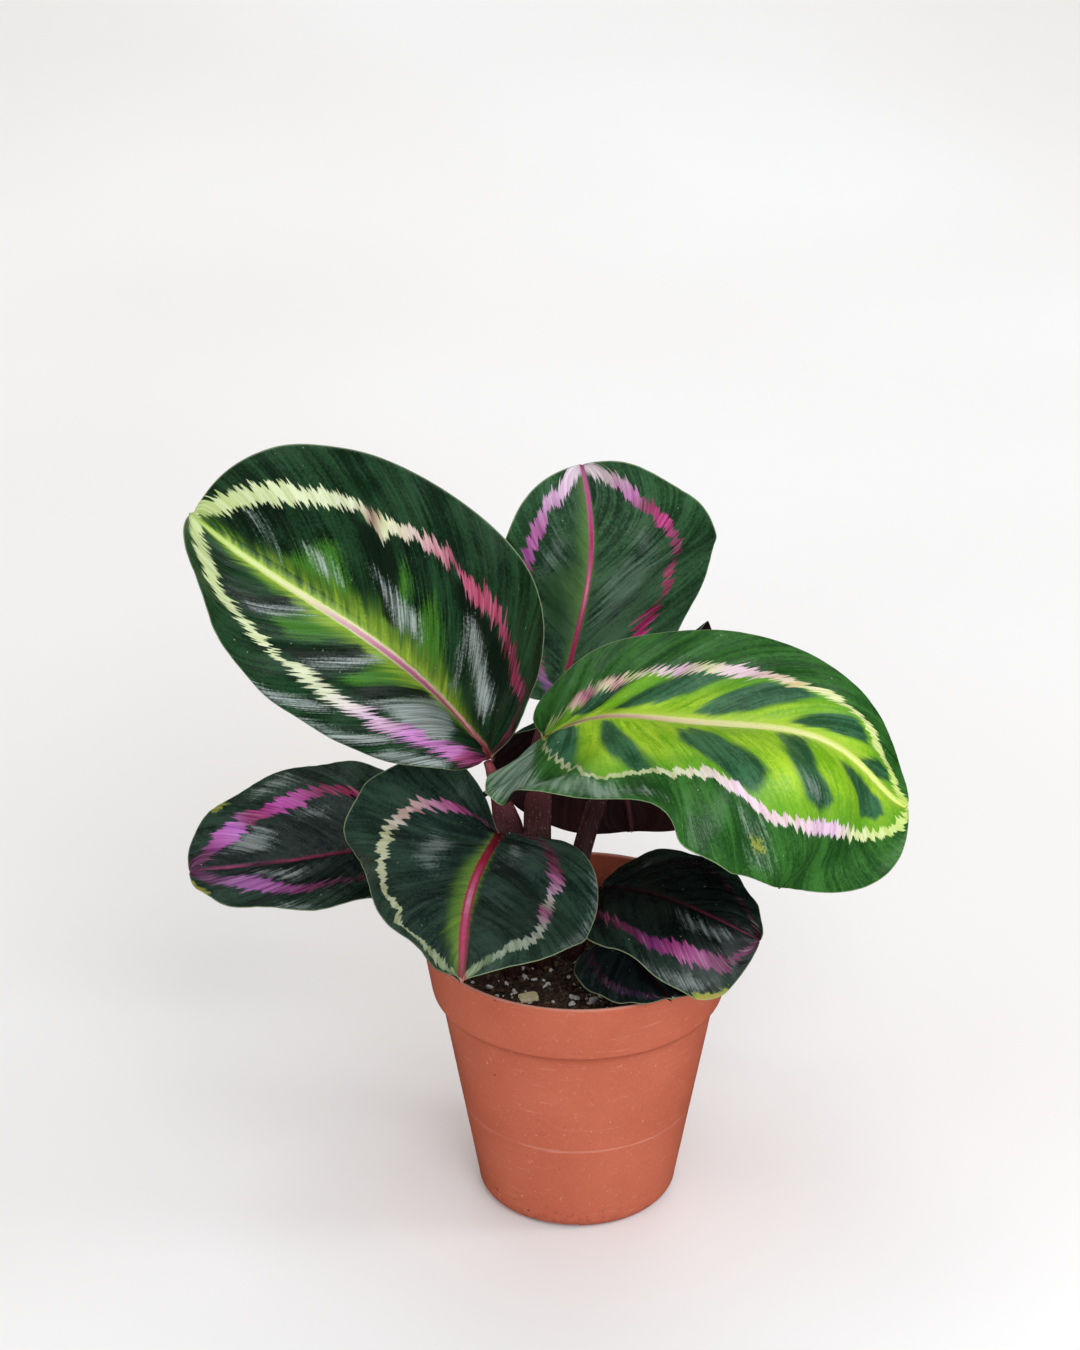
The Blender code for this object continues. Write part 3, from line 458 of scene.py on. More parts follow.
def midrib(leaf, share):
    """Points on the midrib with the blade's forward, upper and left directions there."""
    base, tip = (np.array(leaf[end], float) for end in ("base", "tip"))
    chord = tip - base
    up = facing(leaf)
    up = unit(up - chord * (up @ chord) / (chord @ chord))
    left = np.cross(up, unit(chord))
    spacing = 1 / (len(leaf["rise"]) + 1)
    bends = [base + chord * spacing * (k + 1) + up * rise + left * sway
             for k, (rise, sway) in enumerate(zip(leaf["rise"], leaf["sway"]))]
    controls = [base, *bends, tip]
    inside = np.clip(share, 0.0, 1.0)
    along = unit(bernstein(np.diff(controls, axis=0), inside))
    point = bernstein(controls, inside)
    point = point + along * ((share - inside) * np.linalg.norm(chord))[..., None]
    upper = unit(up - along * (along @ up)[..., None])
    left = np.cross(upper, along)
    turn = np.radians(leaf["twist"]) * (inside - 0.5)[..., None]
    return (point, along, upper * np.cos(turn) + left * np.sin(turn),
            left * np.cos(turn) - upper * np.sin(turn))


def outline(leaf, half, station):
    """Margin of one half of the flat leaf: distance along the midrib, and out from it."""
    angle = math.pi * station
    back = LOBE_REACH * leaf["lobe"][half] * np.sin(angle) * (1 - station) ** 2
    towards_base, towards_middle = leaf["full"][half]
    fullness = 1 + towards_base * np.cos(angle) + towards_middle * np.cos(2 * angle)
    out = leaf["half"][half] * np.sin(angle) ** BLUNTNESS * fullness
    return leaf_length(leaf) * (0.5 - 0.5 * np.cos(angle) - back), out


def blade_point(leaf, half, station, across):
    """A point on the bent blade, with its distances along and out from the flat midrib."""
    length = leaf_length(leaf)
    margin_along, margin_out = outline(leaf, half, station)
    root = length * station ** VEIN_CROWDING
    bend_along = root + VEIN_BEND[0] * (margin_along - root)
    bend_out = VEIN_BEND[1] * margin_out
    at_root, at_bend, at_margin = (1 - across) ** 2, 2 * across * (1 - across), across ** 2
    along = at_root * root + at_bend * bend_along + at_margin * margin_along
    out = at_bend * bend_out + at_margin * margin_out
    share = along / length
    inside = np.clip(share, 0.0, 1.0)
    inner, outer = (np.radians(bernstein(leaf[key][half], inside)) for key in ("inner", "outer"))
    spots = np.multiply.outer(across, (np.arange(SLOPE_STEPS) + 0.5) / SLOPE_STEPS)
    slope = inner[..., None] + (outer - inner)[..., None] * smoothstep(0, 1, spots)
    sideways = out * np.cos(slope).mean(-1)
    lift = out * np.sin(slope).mean(-1)
    point, _, upper, left = midrib(leaf, share)
    side = (1, -1)[half]
    return point + side * left * sideways[..., None] + upper * lift[..., None], along, out


def blade_grid(leaf):
    """Points, stations, signed shares across and flat distances of the whole upper side.

    Columns run from the left margin over the midrib to the right margin.
    """
    stations = (np.arange(STATIONS) + 0.5) / STATIONS
    shares = np.linspace(0, 1, COLUMNS + 1) ** COLUMN_CROWDING
    station, across = np.meshgrid(stations, shares, indexing="ij")
    left, right = (blade_point(leaf, half, station, across) for half in (0, 1))

    def joined(on_left, on_right, sign=1):
        return np.concatenate([on_left[:, ::-1], sign * on_right[:, 1:]], axis=1)

    point, along = joined(left[0], right[0]), joined(left[1], right[1])
    out = joined(left[2], right[2], sign=-1)
    return point, joined(station, station), joined(across, across, sign=-1), along, out


def upward(leaf, point):
    """Unit normals of a grid of points, on the side that the leaf faces."""
    normal = unit(np.cross(np.gradient(point, axis=0), np.gradient(point, axis=1)))
    middle = normal[STATIONS // 2, COLUMNS]
    return normal if middle @ facing(leaf) > 0 else -normal


def relief(leaf, seed, station, share, half, along, out, vein):
    """How far the blade stands off its smooth shape."""
    between = np.abs(np.sin(math.pi * vein / VEIN_SPACING)) ** 0.8 - 0.6
    swell = leaf["quilt"] * between * smoothstep(0.0, 0.16, share) \
        * (1 - smoothstep(0.80, 1.0, share))
    slow = SWELLING * np.sin(math.tau * vein / SWELLING_SPACING + 1.7 * seed + 2 * half) \
        * smoothstep(0.02, 0.3, share) * (1 - 0.9 * smoothstep(0.6, 1.0, share))
    rough = UNEVENNESS * unevenness(seed, UNEVENNESS_SPACING, along, out) \
        * smoothstep(0.05, 0.4, share) * (1 - 0.8 * smoothstep(0.7, 1.0, share))
    ripples = RIPPLE * unevenness(seed + 20, RIPPLE_SPACING, along, out)
    channel = -CHANNEL_DEPTH * np.exp(-(out / CHANNEL_REACH) ** 2)
    height, number, start, reach = (np.array([wave[k] for wave in leaf["waves"]])[half]
                                    for k in range(4))
    ends = np.sin(math.pi * station) ** 0.5 * (1 - smoothstep(reach, reach + 0.15, station - 0.01))
    bend = np.sin(math.tau * (number * station + start) + 0.8 * np.sin(9 * station + seed))
    return swell + slow + rough + ripples + channel + height * bend * ends * share ** 3


def depth_inside(outline_points, x, y):
    """How deep places lie inside a closed outline, negative outside."""
    corners = np.array(outline_points, float)
    nearest, inside = np.full(x.shape, np.inf), np.zeros(x.shape, bool)
    for (x0, y0), (x1, y1) in zip(corners, np.roll(corners, -1, 0)):
        along = np.clip(((x - x0) * (x1 - x0) + (y - y0) * (y1 - y0))
                        / ((x1 - x0) ** 2 + (y1 - y0) ** 2), 0, 1)
        nearest = np.minimum(nearest, np.hypot(x - x0 - along * (x1 - x0),
                                               y - y0 - along * (y1 - y0)))
        if y0 != y1:
            inside ^= ((y0 > y) != (y1 > y)) & (x < x0 + (y - y0) * (x1 - x0) / (y1 - y0))
    return np.where(inside, nearest, -nearest)


def patch_depth(name, kind, station, across):
    """Depth inside the leaf's patches of one kind, in millimetres."""
    leaf = LEAVES[name]
    length, breadth = leaf_length(leaf), sum(leaf["half"]) / 2
    depth = np.full(station.shape, -PATCH_FADE)
    for half, outlines in enumerate(PATCHES.get(name, {}).get(kind, ())):
        mine = (across >= 0) == (half == 0)
        for outline_points in outlines:
            inside = depth_inside([(m * length, t * breadth) for m, t in outline_points],
                                  station * length, np.abs(across) * breadth)
            depth = np.where(mine, np.maximum(depth, inside), depth)
    return np.clip(depth, -PATCH_FADE, PATCH_FADE)


# ---- meshes ------------------------------------------------------------------------------

def put(name, data):
    """An object with this data, in the scene."""
    piece = bpy.data.objects.new(name, data)
    bpy.context.scene.collection.objects.link(piece)
    return piece


def settle(form, mesh):
    """Write a worked form into its mesh."""
    form.to_mesh(mesh)
    form.free()
    return mesh


def skin(rows):
    """The four-cornered faces between rows of points that each close on themselves."""
    turned_on = np.roll(rows, -1, 1)
    return np.stack([rows[:-1], turned_on[:-1], turned_on[1:], rows[1:]], -1)


def store(mesh, name, *columns):
    """Keep three numbers at each vertex for the finishes to read."""
    layer = mesh.attributes.new(name, "FLOAT_VECTOR", "POINT")
    values = np.stack([np.ravel(column) for column in columns], axis=-1)
    layer.data.foreach_set("vector", values.astype(np.float32).ravel())


def around(upper, under, edge_left, edge_right):
    """One closed loop of values per station: over the upper side and back underneath."""
    return np.concatenate([upper, edge_right[:, None], under[:, ::-1], edge_left[:, None]], axis=1)


def all_round(values):
    """Values of the upper side for every vertex of a blade, with its two caps last."""
    loops = around(values, values, values[:, 0], values[:, -1])
    return np.concatenate([loops.ravel(), [loops[0].mean(), loops[-1].mean()]])


def make_blade(name, seed):
    """A closed blade with a fine upper side, a ridged underside and a rounded margin."""
    leaf, look = LEAVES[name], LOOKS[name]
    point, station, across, along, out = blade_grid(leaf)
    share, length = np.abs(across), leaf_length(leaf)
    half = (across < 0).astype(int)

    def by_half(lists, which):
        return np.where(which == 0, evenly(lists[0], station), evenly(lists[1], station))

    # the painted midrib lies beside the fold, and the side veins spring from it
    from_line = out - evenly(look["rib_shift"], station)
    side = (from_line < 0).astype(int)
    share_out = np.abs(from_line) / np.where(side == 0, from_line[:, :1], -from_line[:, -1:])
    vein = (station - by_half(leaf["lean"], side) * share_out) * length
    run = np.linalg.norm(np.diff(point, axis=1), axis=-1)
    travelled = np.concatenate([np.zeros((STATIONS, 1)), np.cumsum(run, axis=1)], axis=1)
    from_fold = np.abs(travelled - travelled[:, COLUMNS:COLUMNS + 1])
    reach = np.where(across >= 0, from_fold[:, :1], from_fold[:, -1:])

    normal = upward(leaf, point)
    stand_off = relief(leaf, seed, station, share_out, side, along, from_line, vein)
    upper = point + normal * stand_off[..., None]
    rib_half = evenly(look["rib_width"], station) / 2
    ridge = RIDGE_HEIGHT * (1 - 0.6 * station) * np.exp(-(from_line / (1.1 * rib_half)) ** 2)
    thickness = BLADE_THICKNESS + (EDGE_THICKNESS - BLADE_THICKNESS) * share + ridge
    under = upper - normal * thickness[..., None]
    rims = []
    for margin, beside in ((0, 1), (-1, -2)):
        outwards = unit(upper[:, margin] - upper[:, beside])
        rims.append((upper[:, margin] + under[:, margin]) / 2 + outwards * EDGE_THICKNESS / 2)
    loops = around(upper, under, *rims)

    sides = loops.shape[1]
    rows = np.arange(STATIONS * sides).reshape(STATIONS, sides)
    quads = skin(rows)
    base_cap, tip_cap = STATIONS * sides, STATIONS * sides + 1
    vertices = np.concatenate([loops.reshape(-1, 3), loops[:1].mean(1), loops[-1:].mean(1)])
    faces = quads.reshape(-1, 4).tolist()
    faces += [(base_cap, rows[0, (k + 1) % sides], rows[0, k]) for k in range(sides)]
    faces += [(tip_cap, rows[-1, k], rows[-1, (k + 1) % sides]) for k in range(sides)]
    mesh = bpy.data.meshes.new("blade_" + name)
    mesh.from_pydata((vertices * MM).tolist(), [], faces)

    # the sheen patches mark where grey-white highlights are painted into the colour
    depths = {kind: patch_depth(name, kind, station, across)
              for kind in ("dark", "light", "painted_sheen", "dry")}
    told = {
        "vein": (vein, from_line, station),
        "ring": (from_fold - by_half(look["ring"], half) * reach,
                 by_half(look["ring_width"], half) / 2, half.astype(float)),
        "rib": (np.abs(from_line) / rib_half, np.abs(from_line) / by_half(look["reach"], half),
                reach - from_fold),
        "patch": (depths["dark"], depths["light"], depths["painted_sheen"]),
        "dry": (depths["dry"], 0 * out, 0 * out),
        "flat": (along, out, 0 * out + LEAF_APART * seed)}
    for item, columns in told.items():
        store(mesh, item, *map(all_round, columns))
    mesh.shade_smooth()
    mesh.materials.append(leaf_upper(name))
    mesh.materials.append(leaf_under(name))
    column = np.arange(sides)
    lower = (column >= 2 * COLUMNS + 1) & (column < sides - 1)
    underneath = np.zeros(len(faces), np.int32)
    underneath[:quads.shape[0] * sides] = np.tile(lower, quads.shape[0])
    mesh.polygons.foreach_set("material_index", underneath)
    solid = bmesh.new()
    solid.from_mesh(mesh)
    if solid.calc_volume(signed=True) < 0:
        bmesh.ops.reverse_faces(solid, faces=solid.faces)
    return put("leaf_" + name + "_blade", settle(solid, mesh))


# ---- finishes --------------------------------------------------------------------------

ATTRIBUTE, SPLIT, OWN = "ShaderNodeAttribute", "ShaderNodeSeparateXYZ", "ShaderNodeTexCoord"
MATH, VECTOR_MATH, RANGE = "ShaderNodeMath", "ShaderNodeVectorMath", "ShaderNodeMapRange"
MIX, RAMP, BUMP = "ShaderNodeMix", "ShaderNodeValToRGB", "ShaderNodeBump"
NOISE, CELLS = "ShaderNodeTexNoise", "ShaderNodeTexVoronoi"
SOFT = {"interpolation_type": "SMOOTHSTEP"}
# tones of the painted sheen: grey-white highlights laid into the leaves' colour
PAINTED_SHEEN_TONES = ("#73827C", "#C3CCCA")
LIGHTENING = (0.15, 0.90)      # where a blade's mottled tone turns from its dark green to light


def linear(code):
    """An sRGB hex colour as the linear one that shaders take."""
    channels = [int(code[k:k + 2], 16) / 255 for k in (1, 3, 5)]
    return (*[c / 12.92 if c <= 0.04045 else ((c + 0.055) / 1.055) ** 2.4 for c in channels], 1.0)


def add(tree, kind, inputs=(), stops=None, **settings):
    """Add a node. Inputs are values, hex colours or the nodes that feed them.

    They stand in the order of the sockets, or each under its socket's name or number.
    """
    node = tree.nodes.new(kind)
    for setting, value in settings.items():
        setattr(node, setting, value)
    for socket, value in inputs.items() if isinstance(inputs, dict) else enumerate(inputs):
        if isinstance(value, bpy.types.Node):
            value = next(output for output in value.outputs if output.enabled)
        if isinstance(value, bpy.types.NodeSocket):
            tree.links.new(value, node.inputs[socket])
        else:
            node.inputs[socket].default_value = linear(value) if isinstance(value, str) else value
    if stops:
        elements = node.color_ramp.elements
        for place, _ in stops[2:]:
            elements.new(place)
        for element, (place, tone) in zip(elements, stops):
            element.position, element.color = place, linear(tone)
    return node


def start_material(name):
    material = bpy.data.materials.new(name)
    material.use_nodes = True
    material.node_tree.nodes.clear()
    return material, material.node_tree


def finish_material(tree, inputs):
    shader = add(tree, "ShaderNodeBsdfPrincipled", inputs)
    add(tree, "ShaderNodeOutputMaterial", {"Surface": shader})


def own_millimetres(tree):
    """Places on a piece, in millimetres of its own size."""
    own = add(tree, OWN).outputs["Object"]
    return add(tree, VECTOR_MATH, (own, (1 / MM, 1 / MM, 1 / MM)), operation="MULTIPLY")


def mark(tree, under, tone, value, low, high, least=0.0, most=1.0, rise="SMOOTHSTEP"):
    """Lay a tone over a colour, covering more of it as the value goes from low to high."""
    cover = add(tree, RANGE, (value, low, high, least, most), interpolation_type=rise)
    return add(tree, MIX, {0: cover, 6: under, 7: tone}, data_type="RGBA")


def leaf_upper(name):
    """Upper side of a calathea leaf: a waxed living skin over painted tissue.

    It gives the eye a satin sheen broken by fine veinlets, and grey-white highlights painted
    into the colour on the swellings between veins. Every marking is brushed along the side
    veins: the light feather beside the midrib, the painted ring and the patches all take
    their edges from the same streaks.
    """
    look = LOOKS[name]
    material, tree = start_material("calathea_upper_" + name)
    vein, flat, *told = (add(tree, ATTRIBUTE, attribute_name=item).outputs["Vector"]
                         for item in ("vein", "flat", "ring", "rib", "patch", "dry"))
    station = add(tree, SPLIT, (vein,)).outputs["Z"]
    ring, rib, patch, dry = (add(tree, SPLIT, (item,)).outputs for item in told)

    def brushed(breadth, length, detail=2.0, shift=0.0):
        """Streaks of this size in millimetres, lying along the side veins."""
        place = add(tree, VECTOR_MATH, (vein, (1 / breadth, 1 / length, 0.0),
                                        (shift, shift, shift)), operation="MULTIPLY_ADD")
        return add(tree, NOISE, {"Vector": place, "Scale": 1.0, "Detail": detail})

    def ruffle(value, *streaks):
        """Shift a value by streaks, so that whatever is cut from it ends in brush strokes."""
        for streaked, amount in streaks:
            swing = add(tree, MATH, (streaked, 0.5), operation="SUBTRACT")
            value = add(tree, MATH, (swing, amount, value), operation="MULTIPLY_ADD")
        return value

    # streaks 0.7, 2 and 6 mm broad; finer ones would not show, so the finest stand for those
    fine, streak, band = brushed(0.7, 12), brushed(2.0, 24, shift=5.0), brushed(6, 40, shift=9.0)
    mottle = add(tree, NOISE, {"Vector": flat, "Scale": 0.06, "Detail": 4.0})
    grain = add(tree, NOISE, {"Vector": flat, "Scale": 0.9, "Detail": 5.0, "Roughness": 0.65})

    # dark field, border and bars, lighter between the side veins
    tone = ruffle(mottle, (band, 1.0), (streak, 0.9), (fine, 0.7), (grain, 1.1))
    field, border = (mark(tree, *look[part], tone, *LIGHTENING) for part in ("field", "border"))
    bars = mark(tree, *look["bars"], tone, *LIGHTENING) if "bars" in look else look["field"][0]

    # light feather beside the midrib, with longer plumes between the veins
    near = ruffle(rib["Y"], (fine, 0.9), (streak, 1.6), (grain, 0.9))
    glow = mark(tree, *look["feather"][:2], near, *look["glow"])
    glow = mark(tree, glow, look["feather"][2], ruffle(fine, (grain, 0.5)), 0.60, 0.30, most=0.45)
    plume = ruffle(patch["Y"], (fine, 8.0), (streak, 8.0), (grain, 5.0))
    field = mark(tree, field, glow, plume, -1.5, 5.0, most=0.9)
    field = mark(tree, field, glow, near, 0.1, 1.5, 1.0, 0.0)

    # the field deepens towards the ring, bars run out between the side veins, and a painted
    # sheen, grey-white highlights laid into the colour, lies on the swellings
    if "deepens" in look:
        field = mark(tree, field, look["deepens"], ruffle(ring["X"], (streak, 8.0)), -17.0, -3.0,
                     most=0.62)
    bar = ruffle(patch["X"], (streak, 4.0), (fine, 1.5), (grain, 1.0))
    field = mark(tree, field, bars, bar, -2.0, 0.9, most=0.96)
    colour = mark(tree, field, border, ruffle(ring["X"], (fine, 2.0)), -0.3, 0.8)
    # painted sheen: grey-white highlights laid into the colour inside the sheen outlines
    painted_sheen_cover = ruffle(patch["Z"], (fine, 8.0), (streak, 6.0), (grain, 8.0))
    painted_sheen = mark(tree, *PAINTED_SHEEN_TONES, ruffle(streak, (fine, 0.8)), 0.30, 0.72)
    colour = mark(tree, colour, painted_sheen, painted_sheen_cover, -1.5, 4.5, most=look["painted_sheen_cover"])

    # painted ring: a wandering band, and the brush strokes that stand out of it on both sides
    slow = brushed(8, 60, shift=13.0)
    wander = ruffle(ring["X"], (brushed(look["tooth"][0], 80, 1.5, 17.0), look["tooth"][1]))
    side = add(tree, MATH, (wander,), operation="SIGN")
    apart = add(tree, MATH, (side, 9.0), operation="MULTIPLY")
    apart = add(tree, "ShaderNodeCombineXYZ", {"Z": apart})
    place = add(tree, VECTOR_MATH, (vein, (1.0, 1 / 40, 0.0), apart), operation="MULTIPLY_ADD")
    teeth = add(tree, NOISE, {"Vector": place, "Scale": 1.0, "Detail": 3.0, "Roughness": 0.7})
    teeth, where_broad, swell = (
        add(tree, RANGE, values, **SOFT) for values in (
            (teeth, 0.36, 0.72, 0.0, look["strokes"]), (ring["Y"], 0.3, 2.0, 0.3, 1.0),
            (slow, 0.3, 0.7, 0.5, 1.05)))
    teeth = add(tree, MATH, (teeth, where_broad), operation="MULTIPLY")
    half_width = add(tree, MATH, (ring["Y"], swell), operation="MULTIPLY")
    aside = add(tree, MATH, (wander,), operation="ABSOLUTE")
    outside = add(tree, MATH, (aside, half_width), operation="SUBTRACT")
    past_teeth = add(tree, MATH, (outside, teeth), operation="SUBTRACT")
    solid, thin, speckled = (
        add(tree, RANGE, values, **SOFT) for values in (
            (past_teeth, -0.30, 0.25, 1.0, 0.0), (outside, -0.4, look["strokes"], 0.0, 0.55),
            (grain, 0.40, 0.56, 0.0, 1.0)))
    gaps = add(tree, MATH, (thin, speckled), operation="MULTIPLY")
    unbroken = add(tree, MATH, (1.0, gaps), operation="SUBTRACT")
    painted = add(tree, MATH, (solid, unbroken), operation="MULTIPLY")
    stained = ruffle(station, (slow, 0.05))
    left, right = (add(tree, RAMP, {"Fac": stained}, stops=stops)
                   for stops in look["ring_colours"])
    paint = add(tree, MIX, {0: ring["Z"], 6: left, 7: right}, data_type="RGBA")
    paint = mark(tree, paint, "#EFE4E8", fine, 0.50, 0.72, most=0.16)
    deep = add(tree, MIX, {0: 1.0, 6: paint, 7: paint}, data_type="RGBA", blend_type="MULTIPLY")
    paint = mark(tree, paint, deep, streak, 0.60, 0.36, 0.1, 0.7)
    colour = add(tree, MIX, {0: painted, 6: colour, 7: paint}, data_type="RGBA")

    # midrib
    offset = ruffle(rib["X"], (fine, 0.6), (grain, 0.4))
    rib_tones = (add(tree, RAMP, {"Fac": station}, stops=look[item])
                 for item in ("rib", "rib_edge"))
    rib_tone = mark(tree, *rib_tones, offset, 0.25, 0.75)
    colour = mark(tree, colour, rib_tone, offset, 0.7, 1.15, 1.0, 0.0)

    # dried margins, a thin pale line all round, and a few specks of dust
    dried = ruffle(dry["X"], (grain, 6.0), (streak, 3.0))
    colour = mark(tree, colour, "#8F9A34", dried, -1.2, 0.6, most=0.85)
    colour = mark(tree, colour, "#A87A3A", dried, 0.2, 1.6, most=0.70)
    colour = mark(tree, colour, "#93A378", rib["Z"], 0.10, 0.40, 0.55, 0.0)
    cells = add(tree, CELLS, {"Vector": flat, "Scale": 0.30}, feature="F1")
    chance = add(tree, SPLIT, (cells.outputs["Color"],)).outputs["X"]
    size = add(tree, RANGE, (chance, 0.45, 1.0, 0.0, 0.1), **SOFT)
    speck = add(tree, MATH, (size, cells.outputs["Distance"]), operation="SUBTRACT")
    colour = mark(tree, colour, "#A9B4A2", speck, 0.0, 0.03, most=0.55)

    # satin surface: pores, veinlets 0.45 mm apart, the tissue's grain and the ring's edge
    veinlets = brushed(0.45, 9, shift=21.0)
    pores = add(tree, NOISE, {"Vector": flat, "Scale": 3.2, "Detail": 2.0})
    height = 0.0
    for layer, depth in ((pores, 0.05), (veinlets, 0.16), (grain, 0.10), (painted, 0.02)):
        height = add(tree, MATH, (layer, depth, height), operation="MULTIPLY_ADD")
    bump = add(tree, BUMP, {"Height": height, "Distance": MM, "Strength": 1.0})
    uneven = ruffle(mottle, (streak, 0.6))
    roughness = add(tree, RANGE, (uneven, 0.3, 0.7, 0.26, 0.38), **SOFT)
    finish_material(tree, {"Base Color": colour, "Normal": bump, "Roughness": roughness,
                           "IOR": 1.45, "Specular IOR Level": 0.5})
    return material


def leaf_under(name):
    """Underside of a calathea leaf: bare wine-red tissue, duller, with paler veins.

    It gives the eye a dark, soft surface with fine streaks along the side veins.
    """
    material, tree = start_material("calathea_under_" + name)
    vein, rib = (add(tree, ATTRIBUTE, attribute_name=item).outputs["Vector"]
                 for item in ("vein", "rib"))
    place = add(tree, VECTOR_MATH, (vein, (1 / 1.4, 1 / 20, 2.0)), operation="MULTIPLY")
    streak = add(tree, NOISE, {"Vector": place, "Scale": 1.0, "Detail": 4.0})
    colour = add(tree, RAMP, {"Fac": streak}, stops=(
        (0.25, "#12070A"), (0.5, "#1E0B11"), (0.7, "#2C1118"), (0.85, "#3A2420")))
    colour = mark(tree, colour, "#4A2228", add(tree, SPLIT, (rib,)), 0.5, 1.2, 0.8, 0.0)
    bump = add(tree, BUMP, {"Height": streak, "Distance": 0.15 * MM, "Strength": 1.0})
    finish_material(tree, {"Base Color": colour, "Normal": bump, "Roughness": 0.5, "IOR": 1.45})
    return material


# ---- stems -----------------------------------------------------------------------------
SOIL_LEVEL = 98.0
PLANTED_DEPTH = 14.0
UNDER_BLADE = 3.6
HOOK_RISE = 0.8
STEM_RADIUS = 1.7
STEM_FOOT_RADIUS = 3.0
JOINT_RADIUS = 2.1
JOINT_LENGTH = 0.12
SHEATH_SHARE = 0.55
SHEATH_TAPER = 1.5
STEM_POINTS = 72
STEM_SIDES = 28
SHEATH_TOP = 0.96              # share of the stalk that the open sheath runs up
SHEATH_BREADTH = 3.4           # half the sheath's breadth, where the table gives none
GROOVE_DEPTH = 0.10            # of the groove along the stalk, as a share of its radius
SHEATH_LAP = 0.45              # how far one edge of the sheath lies over the other
# foot is the part's own; stiff and hook bend the stalk; sheath is half the sheath's breadth;
# colours run from the foot to the blade
STEMS = {
    "upper_left": dict(foot=(-21, 2), stiff=0.50, hook=0.30, sheath=5.6,
                       colours=((0.0, "#2B1113"), (0.6, "#3E1A1E"), (0.88, "#6E2F38"),
                                (1.0, "#A1474F"))),
    "back": dict(foot=(-13, 8), stiff=0.45, hook=0.30,
                 colours=((0.0, "#221012"), (0.7, "#34181C"), (1.0, "#6B2A3C"))),
    "right": dict(foot=(-14, -3), stiff=0.50, hook=0.25, sheath=4.9,
                  colours=((0.0, "#2A1214"), (0.60, "#3E1E20"), (0.9, "#6A3438"),
                           (1.0, "#A4646A"))),
    "front": dict(foot=(-25, -13), stiff=0.55, hook=0.25,
                  colours=((0.0, "#250F11"), (0.6, "#3A161A"), (1.0, "#6A1420"))),
    "lower_left": dict(foot=(-27, 8), stiff=0.45, hook=0.40,
                       colours=((0.0, "#1E0D10"), (1.0, "#471A28"))),
    "lower_right": dict(foot=(-4, 2), stiff=0.40, hook=0.30,
                        colours=((0.0, "#1E0D10"), (1.0, "#3E1822"))),
    "young": dict(foot=(-5, -9), stiff=0.40, hook=0.30,
                  colours=((0.0, "#1C0C0F"), (1.0, "#33131C"))),
    "back_right": dict(foot=(-5, 12), stiff=0.60, hook=0.25,
                       colours=((0.0, "#1E0D10"), (1.0, "#4A2028"))),
}


def stem_path(name):
    leaf, stem = LEAVES[name], STEMS[name]
    foot = np.array([*stem["foot"], SOIL_LEVEL - PLANTED_DEPTH], float)
    base, along, upper, _ = (item.reshape(3) for item in midrib(leaf, np.array([0.0])))
    end = base - upper * UNDER_BLADE
    span = np.linalg.norm(end - foot)
    rise = foot + np.array([0, 0, span * stem["stiff"]])
    approach = end - unit(along + HOOK_RISE * upper) * span * stem["hook"]
    return bernstein([foot, rise, approach, end], np.linspace(0, 1, STEM_POINTS))


def stem_radius(share):
    """Thick at the foot, thin above the sheath, and swollen at the joint under the blade."""
    sheath = max(0.0, 1 - share / SHEATH_SHARE) ** SHEATH_TAPER
    joint = math.sin(math.pi * (share - 1 + JOINT_LENGTH) / JOINT_LENGTH) ** 2 \
        if share > 1 - JOINT_LENGTH else 0.0
    return STEM_RADIUS + (STEM_FOOT_RADIUS - STEM_RADIUS) * sheath \
        + (JOINT_RADIUS - STEM_RADIUS) * joint


def make_stem(name, seed):
    """A leaf stalk: sheathed and flattened at the foot, slightly grooved, with a swollen joint."""
    path = stem_path(name)
    forward = unit(np.gradient(path, axis=0))
    sideways = unit(np.cross(forward, [0.3, 1.0, 0.2]))
    outwards = np.cross(sideways, forward)
    shares = np.linspace(0, 1, STEM_POINTS)
    turn = np.linspace(0, math.tau, STEM_SIDES, endpoint=False)
    rings = []
    for k, share in enumerate(shares):
        radius = stem_radius(share) * (1 + 0.02 * math.sin(share * 31 + seed))
        sheath = max(0.0, 1 - share / SHEATH_TOP)
        flatness = STEMS[name].get("sheath", SHEATH_BREADTH) / radius - 1
        broad = 1 + flatness * min(1.0, 3.5 * sheath)
        groove = GROOVE_DEPTH * radius * np.exp(-((turn - math.pi / 2) / 0.35) ** 2)
        lap = SHEATH_LAP * sheath ** 0.6 * (turn / math.tau)
        size = radius * (1 + 0.015 * np.sin(7 * turn + seed)) - groove + lap
        rings.append(path[k] + np.outer(np.cos(turn) * size * broad, sideways[k])
                     + np.outer(np.sin(turn) * size, outwards[k]))
    rows = np.arange(STEM_POINTS * STEM_SIDES).reshape(STEM_POINTS, STEM_SIDES)
    faces = skin(rows).reshape(-1, 4).tolist() + [rows[0, ::-1].tolist(), rows[-1].tolist()]
    mesh = bpy.data.meshes.new("stalk_" + name)
    mesh.from_pydata((np.concatenate(rings) * MM).tolist(), [], faces)
    span = np.linalg.norm(np.diff(path, axis=0), axis=1).sum()
    share_grid = np.repeat(shares, STEM_SIDES)
    store(mesh, "stalk", share_grid, share_grid * span,
          np.tile(np.cos(turn) * STEM_RADIUS * 3, STEM_POINTS))
    solid = bmesh.new()
    solid.from_mesh(mesh)
    bmesh.ops.recalc_face_normals(solid, faces=solid.faces)
    settle(solid, mesh)
    mesh.shade_smooth()
    mesh.materials.append(stalk_material(name))
    return put("stem_" + name + "_stalk", mesh)


